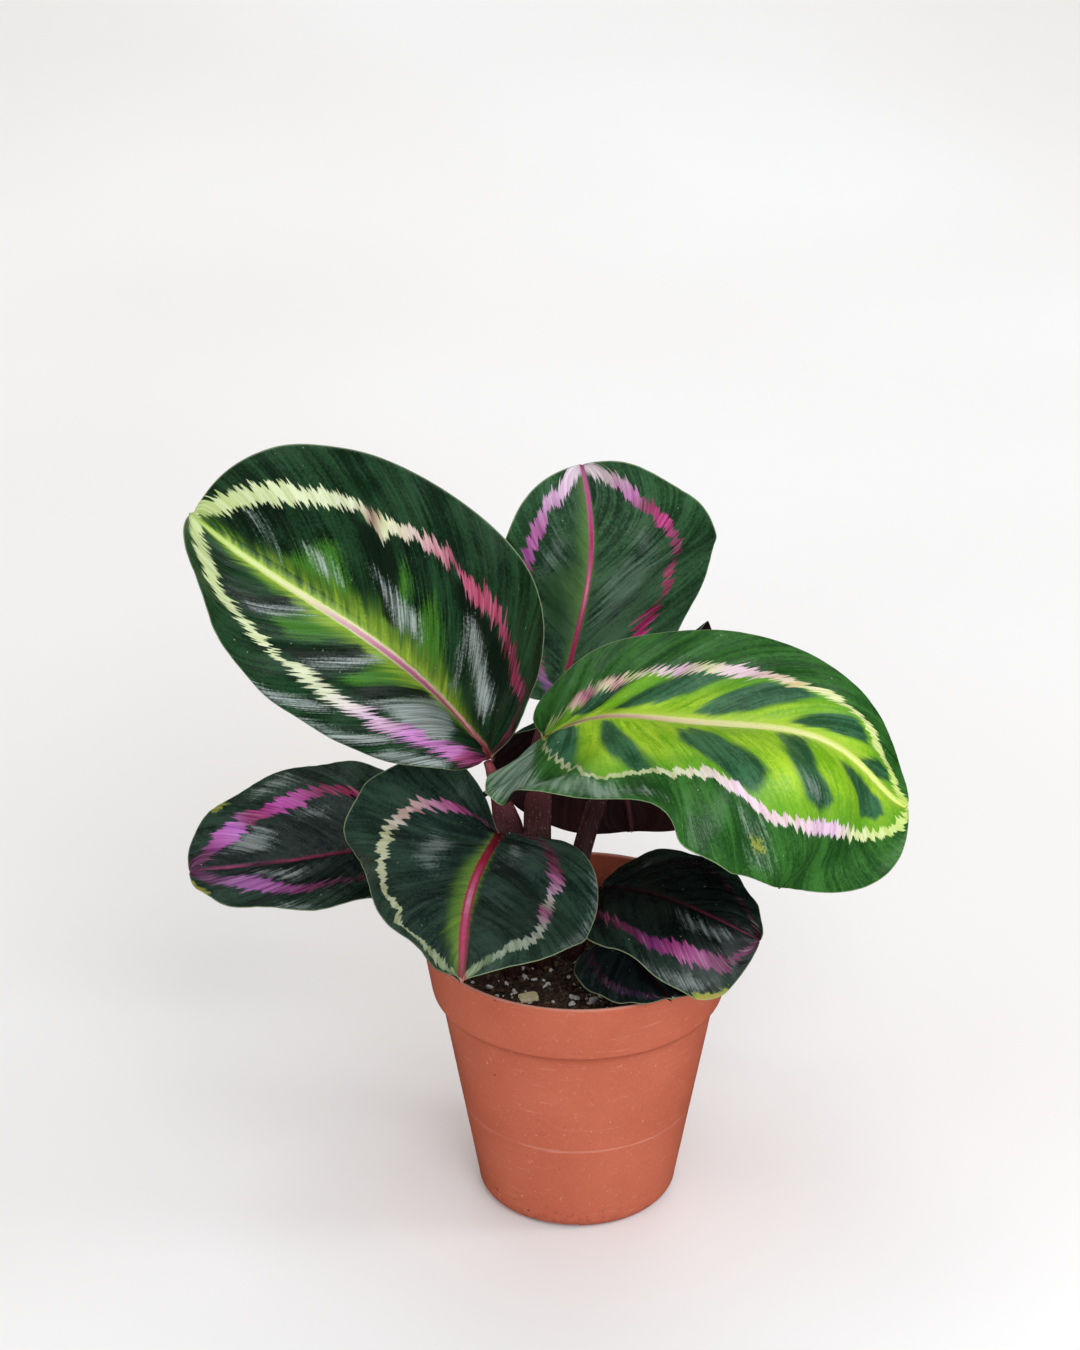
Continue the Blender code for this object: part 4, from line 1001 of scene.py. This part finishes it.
def stalk_material(name):
    """Calathea stalk: firm wine-red skin that turns pink towards the blade.

    It gives the eye fine ribs along its length and pale specks where short hairs stood.
    """
    material, tree = start_material("calathea_stalk_" + name)
    stalk = add(tree, ATTRIBUTE, attribute_name="stalk").outputs["Vector"]
    # ribs 0.6 mm apart, and specks about 1.5 mm apart, drawn coarse enough to show
    lengthwise, spots = (add(tree, VECTOR_MATH, (stalk, scale), operation="MULTIPLY")
                         for scale in ((0.0, 0.07, 1.6), (0.0, 0.55, 0.8)))
    streak = add(tree, NOISE, {"Vector": lengthwise, "Scale": 1.0, "Detail": 4.0})
    speck = add(tree, CELLS, {"Vector": spots, "Scale": 1.0})
    colour = add(tree, RAMP, {"Fac": add(tree, SPLIT, (stalk,))}, stops=STEMS[name]["colours"])
    colour = mark(tree, colour, "#6B4440", streak, 0.35, 0.75, most=0.45)
    colour = mark(tree, colour, "#A98A84", speck, 0.12, 0.22, 0.5, 0.0)
    bump = add(tree, BUMP, {"Height": streak, "Distance": 0.25 * MM, "Strength": 1.0})
    finish_material(tree, {"Base Color": colour, "Normal": bump, "Roughness": 0.42, "IOR": 1.45})
    return material


# ---- pot -------------------------------------------------------------------------------
POT_HEIGHT = 112.5
RIM_RADIUS = 60.0
BAND_HEIGHT = 24.0
BAND_FOOT = POT_HEIGHT - BAND_HEIGHT
BAND_FOOT_RADIUS = 56.0
BAND_STEP = 2.8
BASE_RADIUS = 37.6
BASE_ROUND = 5.0
WALL = 1.3
LIP = 2.0
FLOOR = 1.6
FOOT_HEIGHT = 2.6
FOOT_WIDTH = 7.0
PAD_RADIUS = 8.0
DRAIN_HOLES = 6
DRAIN_HOLE_RADIUS = 4.0
DRAIN_HOLE_CIRCLE = 21.0
NOTCHES = 4
NOTCH_WIDTH = 21.0
NOTCH_HEIGHT = 1.9
NOTCH_ANGLE = -104.6
NOTCH_ROUND = 0.7
POT_SIDES = 192
RUBBED_LINE = 40.0             # height of the line that the next pot in the stack rubbed


def wall_radius(height):
    return BASE_RADIUS + (BAND_FOOT_RADIUS - BAND_STEP - BASE_RADIUS) * height / BAND_FOOT


def band_radius(height):
    share = (height - BAND_FOOT) / BAND_HEIGHT
    return BAND_FOOT_RADIUS + (RIM_RADIUS - BAND_FOOT_RADIUS) * share


def arc(centre, radius, start, end, steps):
    turns = np.radians(np.linspace(start, end, steps + 1))
    return [(centre[0] + radius * math.cos(turn), centre[1] + radius * math.sin(turn))
            for turn in turns]


def turned(name, profile, sides):
    """Spin a profile of (radius, height) pairs that starts and ends on the axis."""
    form = bmesh.new()
    points = [form.verts.new((radius * MM, 0.0, height * MM)) for radius, height in profile]
    edges = [form.edges.new(pair) for pair in zip(points, points[1:])]
    bmesh.ops.spin(form, geom=points + edges, cent=(0, 0, 0), axis=(0, 0, 1),
                   angle=math.tau, steps=sides, use_merge=True)
    bmesh.ops.remove_doubles(form, verts=form.verts, dist=1e-6)
    bmesh.ops.recalc_face_normals(form, faces=form.faces)
    return put(name, settle(form, bpy.data.meshes.new(name)))


def pot_profile():
    """Half the pot's section, from the middle of its underside round to the middle inside."""
    foot_inner = BASE_RADIUS - FOOT_WIDTH
    shelf = BAND_FOOT + WALL
    inside_floor = FOOT_HEIGHT + FLOOR
    wall_foot = wall_radius(inside_floor) - WALL
    profile = [(0, 0), (PAD_RADIUS - 0.3, 0), (PAD_RADIUS, 0.3), (PAD_RADIUS + 1, FOOT_HEIGHT),
               (foot_inner - 1, FOOT_HEIGHT), (foot_inner, 0.3), (foot_inner + 0.3, 0)]
    profile += arc((wall_radius(BASE_ROUND) - BASE_ROUND, BASE_ROUND), BASE_ROUND, -90, -8, 10)
    profile += [(wall_radius(height), height)
                for height in np.linspace(BASE_ROUND + 1, BAND_FOOT - 0.6, 14)]
    profile += arc((wall_radius(BAND_FOOT) + 0.5, BAND_FOOT - 0.5), 0.5, 180, 90, 3)
    profile += arc((BAND_FOOT_RADIUS - 0.8, BAND_FOOT + 0.8), 0.8, -90, -5, 4)
    profile += [(band_radius(height), height)
                for height in np.linspace(BAND_FOOT + 2, POT_HEIGHT - LIP - 1.0, 6)]
    profile += arc((RIM_RADIUS - LIP / 2, POT_HEIGHT - LIP / 2), LIP / 2, -20, 200, 14)
    return profile + [(band_radius(POT_HEIGHT - LIP) - WALL, POT_HEIGHT - 2 * LIP),
                      (band_radius(shelf) - WALL, shelf + 0.5),
                      (wall_radius(shelf) - WALL, shelf - 0.5),
                      (wall_foot - 2, inside_floor + 2), (wall_foot - 4, inside_floor),
                      (0, inside_floor)]


def make_pot():
    """The moulded pot, with its drain holes and the notches in its foot cut out."""
    pot = turned("pot_shell", pot_profile(), POT_SIDES)
    form = bmesh.new()
    for index in range(DRAIN_HOLES):
        turn = Matrix.Rotation(math.tau * (index + 0.5) / DRAIN_HOLES, 4, "Z")
        place = turn @ Matrix.Translation((DRAIN_HOLE_CIRCLE * MM, 0, FOOT_HEIGHT * MM))
        bmesh.ops.create_cone(form, cap_ends=True, segments=32, matrix=place,
                              radius1=DRAIN_HOLE_RADIUS * MM, radius2=DRAIN_HOLE_RADIUS * MM,
                              depth=3 * FLOOR * MM)
    for index in range(NOTCHES):
        turn = Matrix.Rotation(math.radians(NOTCH_ANGLE) + math.tau * index / NOTCHES, 4, "Z")
        size = Matrix.Diagonal((3 * FOOT_WIDTH * MM, NOTCH_WIDTH * MM, 2 * NOTCH_HEIGHT * MM, 1))
        place = turn @ Matrix.Translation((BASE_RADIUS * MM, 0, 0)) @ size
        box = bmesh.ops.create_cube(form, size=1.0, matrix=place)
        rim = [edge for edge in {e for v in box["verts"] for e in v.link_edges}
               if edge.verts[0].co.z > 0 and edge.verts[1].co.z > 0]
        bmesh.ops.bevel(form, geom=rim, offset=NOTCH_ROUND * MM, segments=3, affect="EDGES")
    cutter = put("drain_cutter", settle(form, bpy.data.meshes.new("drain_cutter")))
    modifier = pot.modifiers.new("drain", "BOOLEAN")
    modifier.operation, modifier.solver, modifier.object = "DIFFERENCE", "EXACT", cutter
    graph = bpy.context.evaluated_depsgraph_get()
    pot.data = bpy.data.meshes.new_from_object(pot.evaluated_get(graph))
    pot.modifiers.clear()
    bpy.data.objects.remove(cutter)
    pot.data.shade_smooth()
    pot.data.set_sharp_from_angle(angle=math.radians(40))
    pot.data.materials.clear()
    pot.data.materials.append(pot_plastic())
    return pot


def pot_plastic():
    """Terracotta-coloured polypropylene, injection moulded.

    It gives the eye a satin, faintly mottled wall that shows every scuff, with pale rubs and
    dried splashes, and crumbs of mix stuck to it. Painted shade darkens the crease under the
    band, and a painted highlight runs along the top of the rim. Lengths are the pot's own
    millimetres.
    """
    material, tree = start_material("terracotta_polypropylene")
    place = own_millimetres(tree)
    height = add(tree, SPLIT, (place,)).outputs["Z"]
    cloud = add(tree, NOISE, {"Vector": place, "Scale": 0.03, "Detail": 4.0})
    colour = add(tree, RAMP, {"Fac": cloud}, stops=((0.3, "#AE5038"), (0.7, "#BA5B40")))
    grain = add(tree, NOISE, {"Vector": place, "Scale": 2.5, "Detail": 3.0})
    colour = mark(tree, colour, "#CD8468", grain, 0.3, 0.7, most=0.28, rise="LINEAR")

    # scuffs: short scratches round the pot, a broken rubbed line, and dried splashes
    stretched = add(tree, VECTOR_MATH, (place, (0.05, 0.05, 0.9)), operation="MULTIPLY")
    scratch = add(tree, NOISE, {"Vector": stretched, "Scale": 1.0, "Detail": 5.0,
                                "Roughness": 0.7})
    splash = add(tree, NOISE, {"Vector": place, "Scale": 0.55, "Detail": 5.0,
                               "Roughness": 0.72, "Distortion": 0.4})
    scratches, splashes = (add(tree, RANGE, values, **SOFT) for values in (
        (scratch, 0.60, 0.70, 0.0, 0.30), (splash, 0.61, 0.68, 0.0, 0.42)))
    rubbed = add(tree, MATH, (height, RUBBED_LINE, 0.55), operation="COMPARE")
    broken = add(tree, RANGE, (scratch, 0.42, 0.60, 0.0, 0.32))
    scuffs = add(tree, MATH, (rubbed, broken, scratches), operation="MULTIPLY_ADD",
                 use_clamp=True)
    scuffs = add(tree, MATH, (scuffs, splashes), operation="MAXIMUM")
    colour = add(tree, MIX, {0: scuffs, 6: colour, 7: "#DDAA98"}, data_type="RGBA")

    # crumbs of potting mix stuck to the wall, in some of its 6 mm cells, and dark blotches that
    # crowd towards the foot
    crumbs = add(tree, CELLS, {"Vector": place, "Scale": 0.16})
    size = add(tree, SPLIT, (crumbs.outputs["Color"],))
    size = add(tree, RANGE, (size, 0.70, 1.0, -0.02, 0.11))
    dirt = add(tree, MATH, (size, crumbs.outputs["Distance"]), operation="SUBTRACT")
    colour = mark(tree, colour, "#4A2A20", dirt, 0.0, 0.012, most=0.85, rise="LINEAR")
    dark_blotches = add(tree, NOISE, {"Vector": place, "Scale": 0.35, "Detail": 6.0, "Roughness": 0.75})
    near_foot = add(tree, RANGE, (height, 0.0, 14.0, 0.16, 0.0))
    dark_blotches = add(tree, MATH, (dark_blotches, near_foot), operation="ADD")
    colour = mark(tree, colour, "#7C4434", dark_blotches, 0.60, 0.72, most=0.4)

    # painted shade in the crease where the band steps in, and a painted highlight along the top
    # of the rim
    painted_crease_shade = add(tree, RANGE, (height, BAND_FOOT - 4.5, BAND_FOOT - 0.2, 0.0, 0.55), **SOFT)
    below = add(tree, MATH, (height, BAND_FOOT + 0.2), operation="LESS_THAN")
    painted_crease_shade = add(tree, MATH, (painted_crease_shade, below), operation="MULTIPLY")
    colour = add(tree, MIX, {0: painted_crease_shade, 6: colour, 7: "#7E3B29"}, data_type="RGBA")
    colour = mark(tree, colour, "#EAB9A8", height, POT_HEIGHT - 0.6, POT_HEIGHT + 0.1, most=0.50)
    bump = add(tree, BUMP, {"Height": grain, "Distance": 0.05 * MM, "Strength": 1.0})
    roughness = add(tree, RANGE, (cloud, 0.3, 0.7, 0.34, 0.46))
    finish_material(tree, {"Base Color": colour, "Normal": bump, "Roughness": roughness,
                           "IOR": 1.49})
    return material


# ---- potting mix -----------------------------------------------------------------------
SOIL_RINGS = 90
SOIL_SIDES = 260
SOIL_CLEARANCE = 0.6           # between the mix and the pot's wall
SOIL_SINK = 1.2                # how far the mix has sunk along the wall
BARK_CRUMBS = 900
PERLITE_GRAINS = 240
CHIP_SPOT = (-19.0, -31.0)
CHIP_SIZE = (4.2, 2.6, 1.1)    # half its length, breadth and thickness


def soil_height(x, y):
    """Surface of the mix in millimetres: the part's long swells with finer lumps on them."""
    wave = np.sin(x / 7.0 + 1) * np.cos(y / 9.0) + np.sin((x + 2 * y) / 5.0) / 2
    fine = 0.75 * unevenness(3, 7, x, y) + 0.4 * unevenness(4, 3.2, x, y) \
        + 0.25 * unevenness(5, 1.6, x, y)
    return SOIL_LEVEL + 1.2 * wave + fine


def make_soil():
    """The potting mix, filling the pot, with a fine, lumpy top."""
    edge = band_radius(SOIL_LEVEL) - WALL - SOIL_CLEARANCE
    radii = edge * (np.arange(SOIL_RINGS) + 1) / SOIL_RINGS
    turns = np.linspace(0, math.tau, SOIL_SIDES, endpoint=False)
    radius, turn = np.meshgrid(radii, turns, indexing="ij")
    x, y = radius * np.cos(turn), radius * np.sin(turn)
    z = soil_height(x, y) - SOIL_SINK * smoothstep(edge - 5, edge, radius)
    # rings down the pot's inside, as height and reach: past the band's step to the floor
    neck, floor = BAND_FOOT - 2, FOOT_HEIGHT + FLOOR
    down = ((BAND_FOOT + 2, edge - 1.5), (neck, wall_radius(neck) - WALL - SOIL_CLEARANCE),
            (floor + 5, BASE_RADIUS - WALL - 2.0), (floor + 0.3, BASE_RADIUS - WALL - 5.0))
    rings = [np.stack([x[-1] * reach / edge, y[-1] * reach / edge,
                       np.full(SOIL_SIDES, height)], -1) for height, reach in down]
    count = SOIL_RINGS + len(down)
    rows = np.arange(count * SOIL_SIDES).reshape(count, SOIL_SIDES)
    middle = count * SOIL_SIDES
    faces = skin(rows)[..., [0, 3, 2, 1]].reshape(-1, 4).tolist()
    faces += [(middle, rows[0, k], rows[0, (k + 1) % SOIL_SIDES]) for k in range(SOIL_SIDES)]
    faces.append(rows[-1, ::-1].tolist())
    centre = [[0.0, 0.0, float(soil_height(np.array(0.0), np.array(0.0)))]]
    vertices = np.concatenate([np.stack([x, y, z], -1).reshape(-1, 3), *rings, centre])
    mesh = bpy.data.meshes.new("mix_surface")
    mesh.from_pydata((vertices * MM).tolist(), [], faces)
    mesh.shade_smooth()
    mesh.materials.append(peat())
    return put("mix_surface", mesh)


def make_crumbs(name, count, sizes, flatness, material, seed):
    """Loose lumps lying on the mix."""
    chance = random.Random(seed)
    form = bmesh.new()
    edge = band_radius(SOIL_LEVEL) - WALL - 2.5
    for _ in range(count):
        radius, turn = edge * math.sqrt(chance.random()), chance.uniform(0, math.tau)
        x, y = radius * math.cos(turn), radius * math.sin(turn)
        size = chance.uniform(*sizes) * chance.uniform(0.6, 1.0)
        lump = bmesh.ops.create_icosphere(form, subdivisions=2 if size > 1.2 else 1, radius=1.0)
        stretch = Vector((chance.uniform(0.7, 1.3), chance.uniform(0.5, 1.0), flatness))
        spin = Matrix.Rotation(chance.uniform(0, math.tau), 4, "Z") \
            @ Matrix.Rotation(chance.uniform(-0.6, 0.6), 4, "X")
        z = float(soil_height(np.array(x), np.array(y)))
        for vertex in lump["verts"]:
            rough = 1 + 0.28 * (chance.random() - 0.5)
            shaped = Vector([c * s for c, s in zip(vertex.co * rough * size, stretch)])
            vertex.co = (spin @ shaped + Vector((x, y, z + 0.25 * size * flatness))) * MM
    mesh = settle(form, bpy.data.meshes.new(name))
    mesh.materials.append(material)
    return put(name, mesh)


def make_chip(spot, size):
    """One pale wood chip lying against the front of the rim."""
    form = bmesh.new()
    bmesh.ops.create_cube(form, size=2.0)
    bmesh.ops.subdivide_edges(form, edges=form.edges[:], cuts=6, use_grid_fill=True)
    chance = random.Random(5)
    z = float(soil_height(np.array(spot[0]), np.array(spot[1]))) + size[2]
    spin = Matrix.Rotation(0.3, 4, "Z") @ Matrix.Rotation(0.25, 4, "X")
    for vertex in form.verts:
        round_off = 1 - 0.12 * (vertex.co.x ** 2 + vertex.co.y ** 2) * chance.uniform(0.7, 1.2)
        shaped = Vector([c * s * round_off for c, s in zip(vertex.co, size)])
        vertex.co = (spin @ shaped + Vector((*spot, z))) * MM
    mesh = settle(form, bpy.data.meshes.new("wood_chip"))
    mesh.materials.append(lump_material("wood_chip", "#E0D09C", "#FBF0CC", 0.7, 1.5))
    return put("wood_chip", mesh)


def peat():
    """Damp peat, loose: it gives the eye a near-black, grainy ground with brown fibres."""
    material, tree = start_material("damp_peat")
    place = own_millimetres(tree)
    grain = add(tree, NOISE, {"Vector": place, "Scale": 1.1, "Detail": 8.0, "Roughness": 0.7})
    colour = add(tree, RAMP, {"Fac": grain}, stops=(
        (0.30, "#16110D"), (0.46, "#3B2E24"), (0.60, "#654F3D"), (0.74, "#957C60")))
    pits = add(tree, CELLS, {"Vector": place, "Scale": 0.9})
    height = add(tree, MATH, (grain, pits), operation="ADD")
    bump = add(tree, BUMP, {"Height": height, "Distance": 0.6 * MM, "Strength": 1.0})
    finish_material(tree, {"Base Color": colour, "Normal": bump, "Roughness": 0.85, "IOR": 1.4})
    return material


def lump_material(name, dark, light, roughness, grain_size):
    """A crumb of bark, perlite or wood: it gives the eye a dry, dull lump with its own grain."""
    material, tree = start_material(name)
    grain = add(tree, NOISE, {"Vector": own_millimetres(tree), "Scale": 1 / grain_size,
                              "Detail": 5.0})
    colour = add(tree, RAMP, {"Fac": grain}, stops=((0.35, dark), (0.65, light)))
    bump = add(tree, BUMP, {"Height": grain, "Distance": 0.3 * MM, "Strength": 1.0})
    finish_material(tree, {"Base Color": colour, "Normal": bump, "Roughness": roughness,
                           "IOR": 1.45})
    return material


# ---- putting the plant together ----------------------------------------------------------

def hand_over(piece, node):
    """Hang a piece on the plant's body, and hide the frame's part that it stands for, if any."""
    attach(piece, "root")
    if node:
        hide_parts(node)


hand_over(make_pot(), "pot")
hand_over(make_soil(), "potting_mix")
bark = lump_material("bark_crumb", "#241A13", "#7C5E48", 0.85, 1.2)
hand_over(make_crumbs("bark_crumbs", BARK_CRUMBS, (0.5, 2.2), 0.55, bark, 11), None)
perlite = lump_material("perlite_grain", "#F0EEE8", "#FDFCFA", 0.8, 0.5)
hand_over(make_crumbs("perlite", PERLITE_GRAINS, (0.45, 1.9), 0.8, perlite, 12), None)
hand_over(make_chip(CHIP_SPOT, CHIP_SIZE), None)
for seed, name in enumerate(LEAVES):
    hand_over(make_blade(name, seed), "leaf_" + name)
    hand_over(make_stem(name, seed), "stem_" + name)


# ---- studio: lengths here are metres -------------------------------------------------------
PLANT_MIDDLE = (-0.02, 0.0, 0.18)
PAPER_FRONT, PAPER_BACK, PAPER_TOP, PAPER_HALF_WIDTH = -4.0, 1.4, 3.0, 4.0
PAPER_BEND = 0.8
DAYLIGHT = "#F6FAFF"
ROOM_LIGHT, ROOM_STRENGTH = "#FBFAF8", 0.56
CAMERA_STAND = (-0.0146, -1.3365, 0.902)
CAMERA_AIM = (-0.0146, 0.0, 0.221)
LENS_MM, SENSOR_MM = 108.16, 36.0
# name: where it stands, its size, its power, what it points at, and whether it is mirrored
SOFTBOXES = {
    "high_front_window": ((0.40, -1.30, 1.35), (0.80, 0.80), 10.5, PLANT_MIDDLE, True),
    "right_window": ((1.15, -0.16, 0.88), (0.35, 0.45), 3.8, PLANT_MIDDLE, True),
    "left_fill": ((-0.95, -0.55, 0.16), (0.40, 0.28), 1.3, PLANT_MIDDLE, False),
    "low_fill": ((0.0, -1.0, 0.30), (0.90, 0.26), 2.8, PLANT_MIDDLE, False),
    "top_window": ((-0.35, 0.40, 1.50), (0.35, 0.35), 1.4, PLANT_MIDDLE, True),
    "right_fill": ((0.95, -0.60, 0.30), (0.40, 0.40), 2.3, PLANT_MIDDLE, False),
    "paper_wash": ((0.0, 1.1, 1.3), (1.6, 0.7), 8.0, (0.0, 1.2, 0.0), False),
}


def make_paper():
    """Pale matt paper, a floor that curves up into a wall: it gives the eye a quiet ground."""
    material, tree = start_material("pale_paper")
    own = add(tree, OWN).outputs["Object"]
    cloud = add(tree, NOISE, {"Vector": own, "Scale": 1.2, "Detail": 2.0})
    colour = add(tree, RAMP, {"Fac": cloud}, stops=((0.35, "#EDE9E6"), (0.6, "#F3F2F1")))
    fibre = add(tree, NOISE, {"Vector": own, "Scale": 900.0, "Detail": 2.0})
    bump = add(tree, BUMP, {"Height": fibre, "Distance": 0.02 * MM, "Strength": 1.0})
    finish_material(tree, {"Base Color": colour, "Normal": bump, "Roughness": 0.9,
                           "Specular IOR Level": 0.0})
    profile = [(PAPER_FRONT, 0.0), (PAPER_BACK, 0.0)]
    profile += [(PAPER_BACK + PAPER_BEND * math.sin(turn), PAPER_BEND - PAPER_BEND * math.cos(turn))
                for turn in np.linspace(0.1, math.pi / 2, 20)]
    profile.append((PAPER_BACK + PAPER_BEND, PAPER_TOP))
    vertices = [(side * PAPER_HALF_WIDTH, y, z) for y, z in profile for side in (-1, 1)]
    faces = [(2 * k, 2 * k + 1, 2 * k + 3, 2 * k + 2) for k in range(len(profile) - 1)]
    mesh = bpy.data.meshes.new("paper")
    mesh.from_pydata(vertices, [], faces)
    mesh.shade_smooth()
    mesh.materials.append(material)
    sheet = put("paper", mesh)
    sheet.visible_glossy = False


def softbox(name, stand, size, power, target, mirrored):
    """A soft daylight panel; one that isn't mirrored only fills shadows."""
    lamp = bpy.data.lights.new(name, "AREA")
    lamp.shape, lamp.size, lamp.size_y = "RECTANGLE", *size
    lamp.energy, lamp.color = power, linear(DAYLIGHT)[:3]
    box = put(name, lamp)
    box.location = stand
    box.rotation_euler = (Vector(target) - Vector(stand)).to_track_quat("-Z", "Y").to_euler()
    box.visible_camera, box.visible_glossy = False, mirrored


make_paper()
for name, settings in SOFTBOXES.items():
    softbox(name, *settings)
scene = bpy.context.scene
scene.world = bpy.data.worlds.new("studio")
scene.world.use_nodes = True
room = scene.world.node_tree.nodes["Background"].inputs
room["Color"].default_value, room["Strength"].default_value = linear(ROOM_LIGHT), ROOM_STRENGTH
scene.world.cycles_visibility.glossy = False
scene.view_settings.view_transform = "Standard"

camera_data = bpy.data.cameras.new("camera")
camera_data.lens, camera_data.sensor_width = LENS_MM, SENSOR_MM
camera = put("camera", camera_data)
camera.location = CAMERA_STAND
camera.rotation_euler = (Vector(CAMERA_AIM) - Vector(CAMERA_STAND)).to_track_quat(
    "-Z", "Y").to_euler()
scene.camera = camera
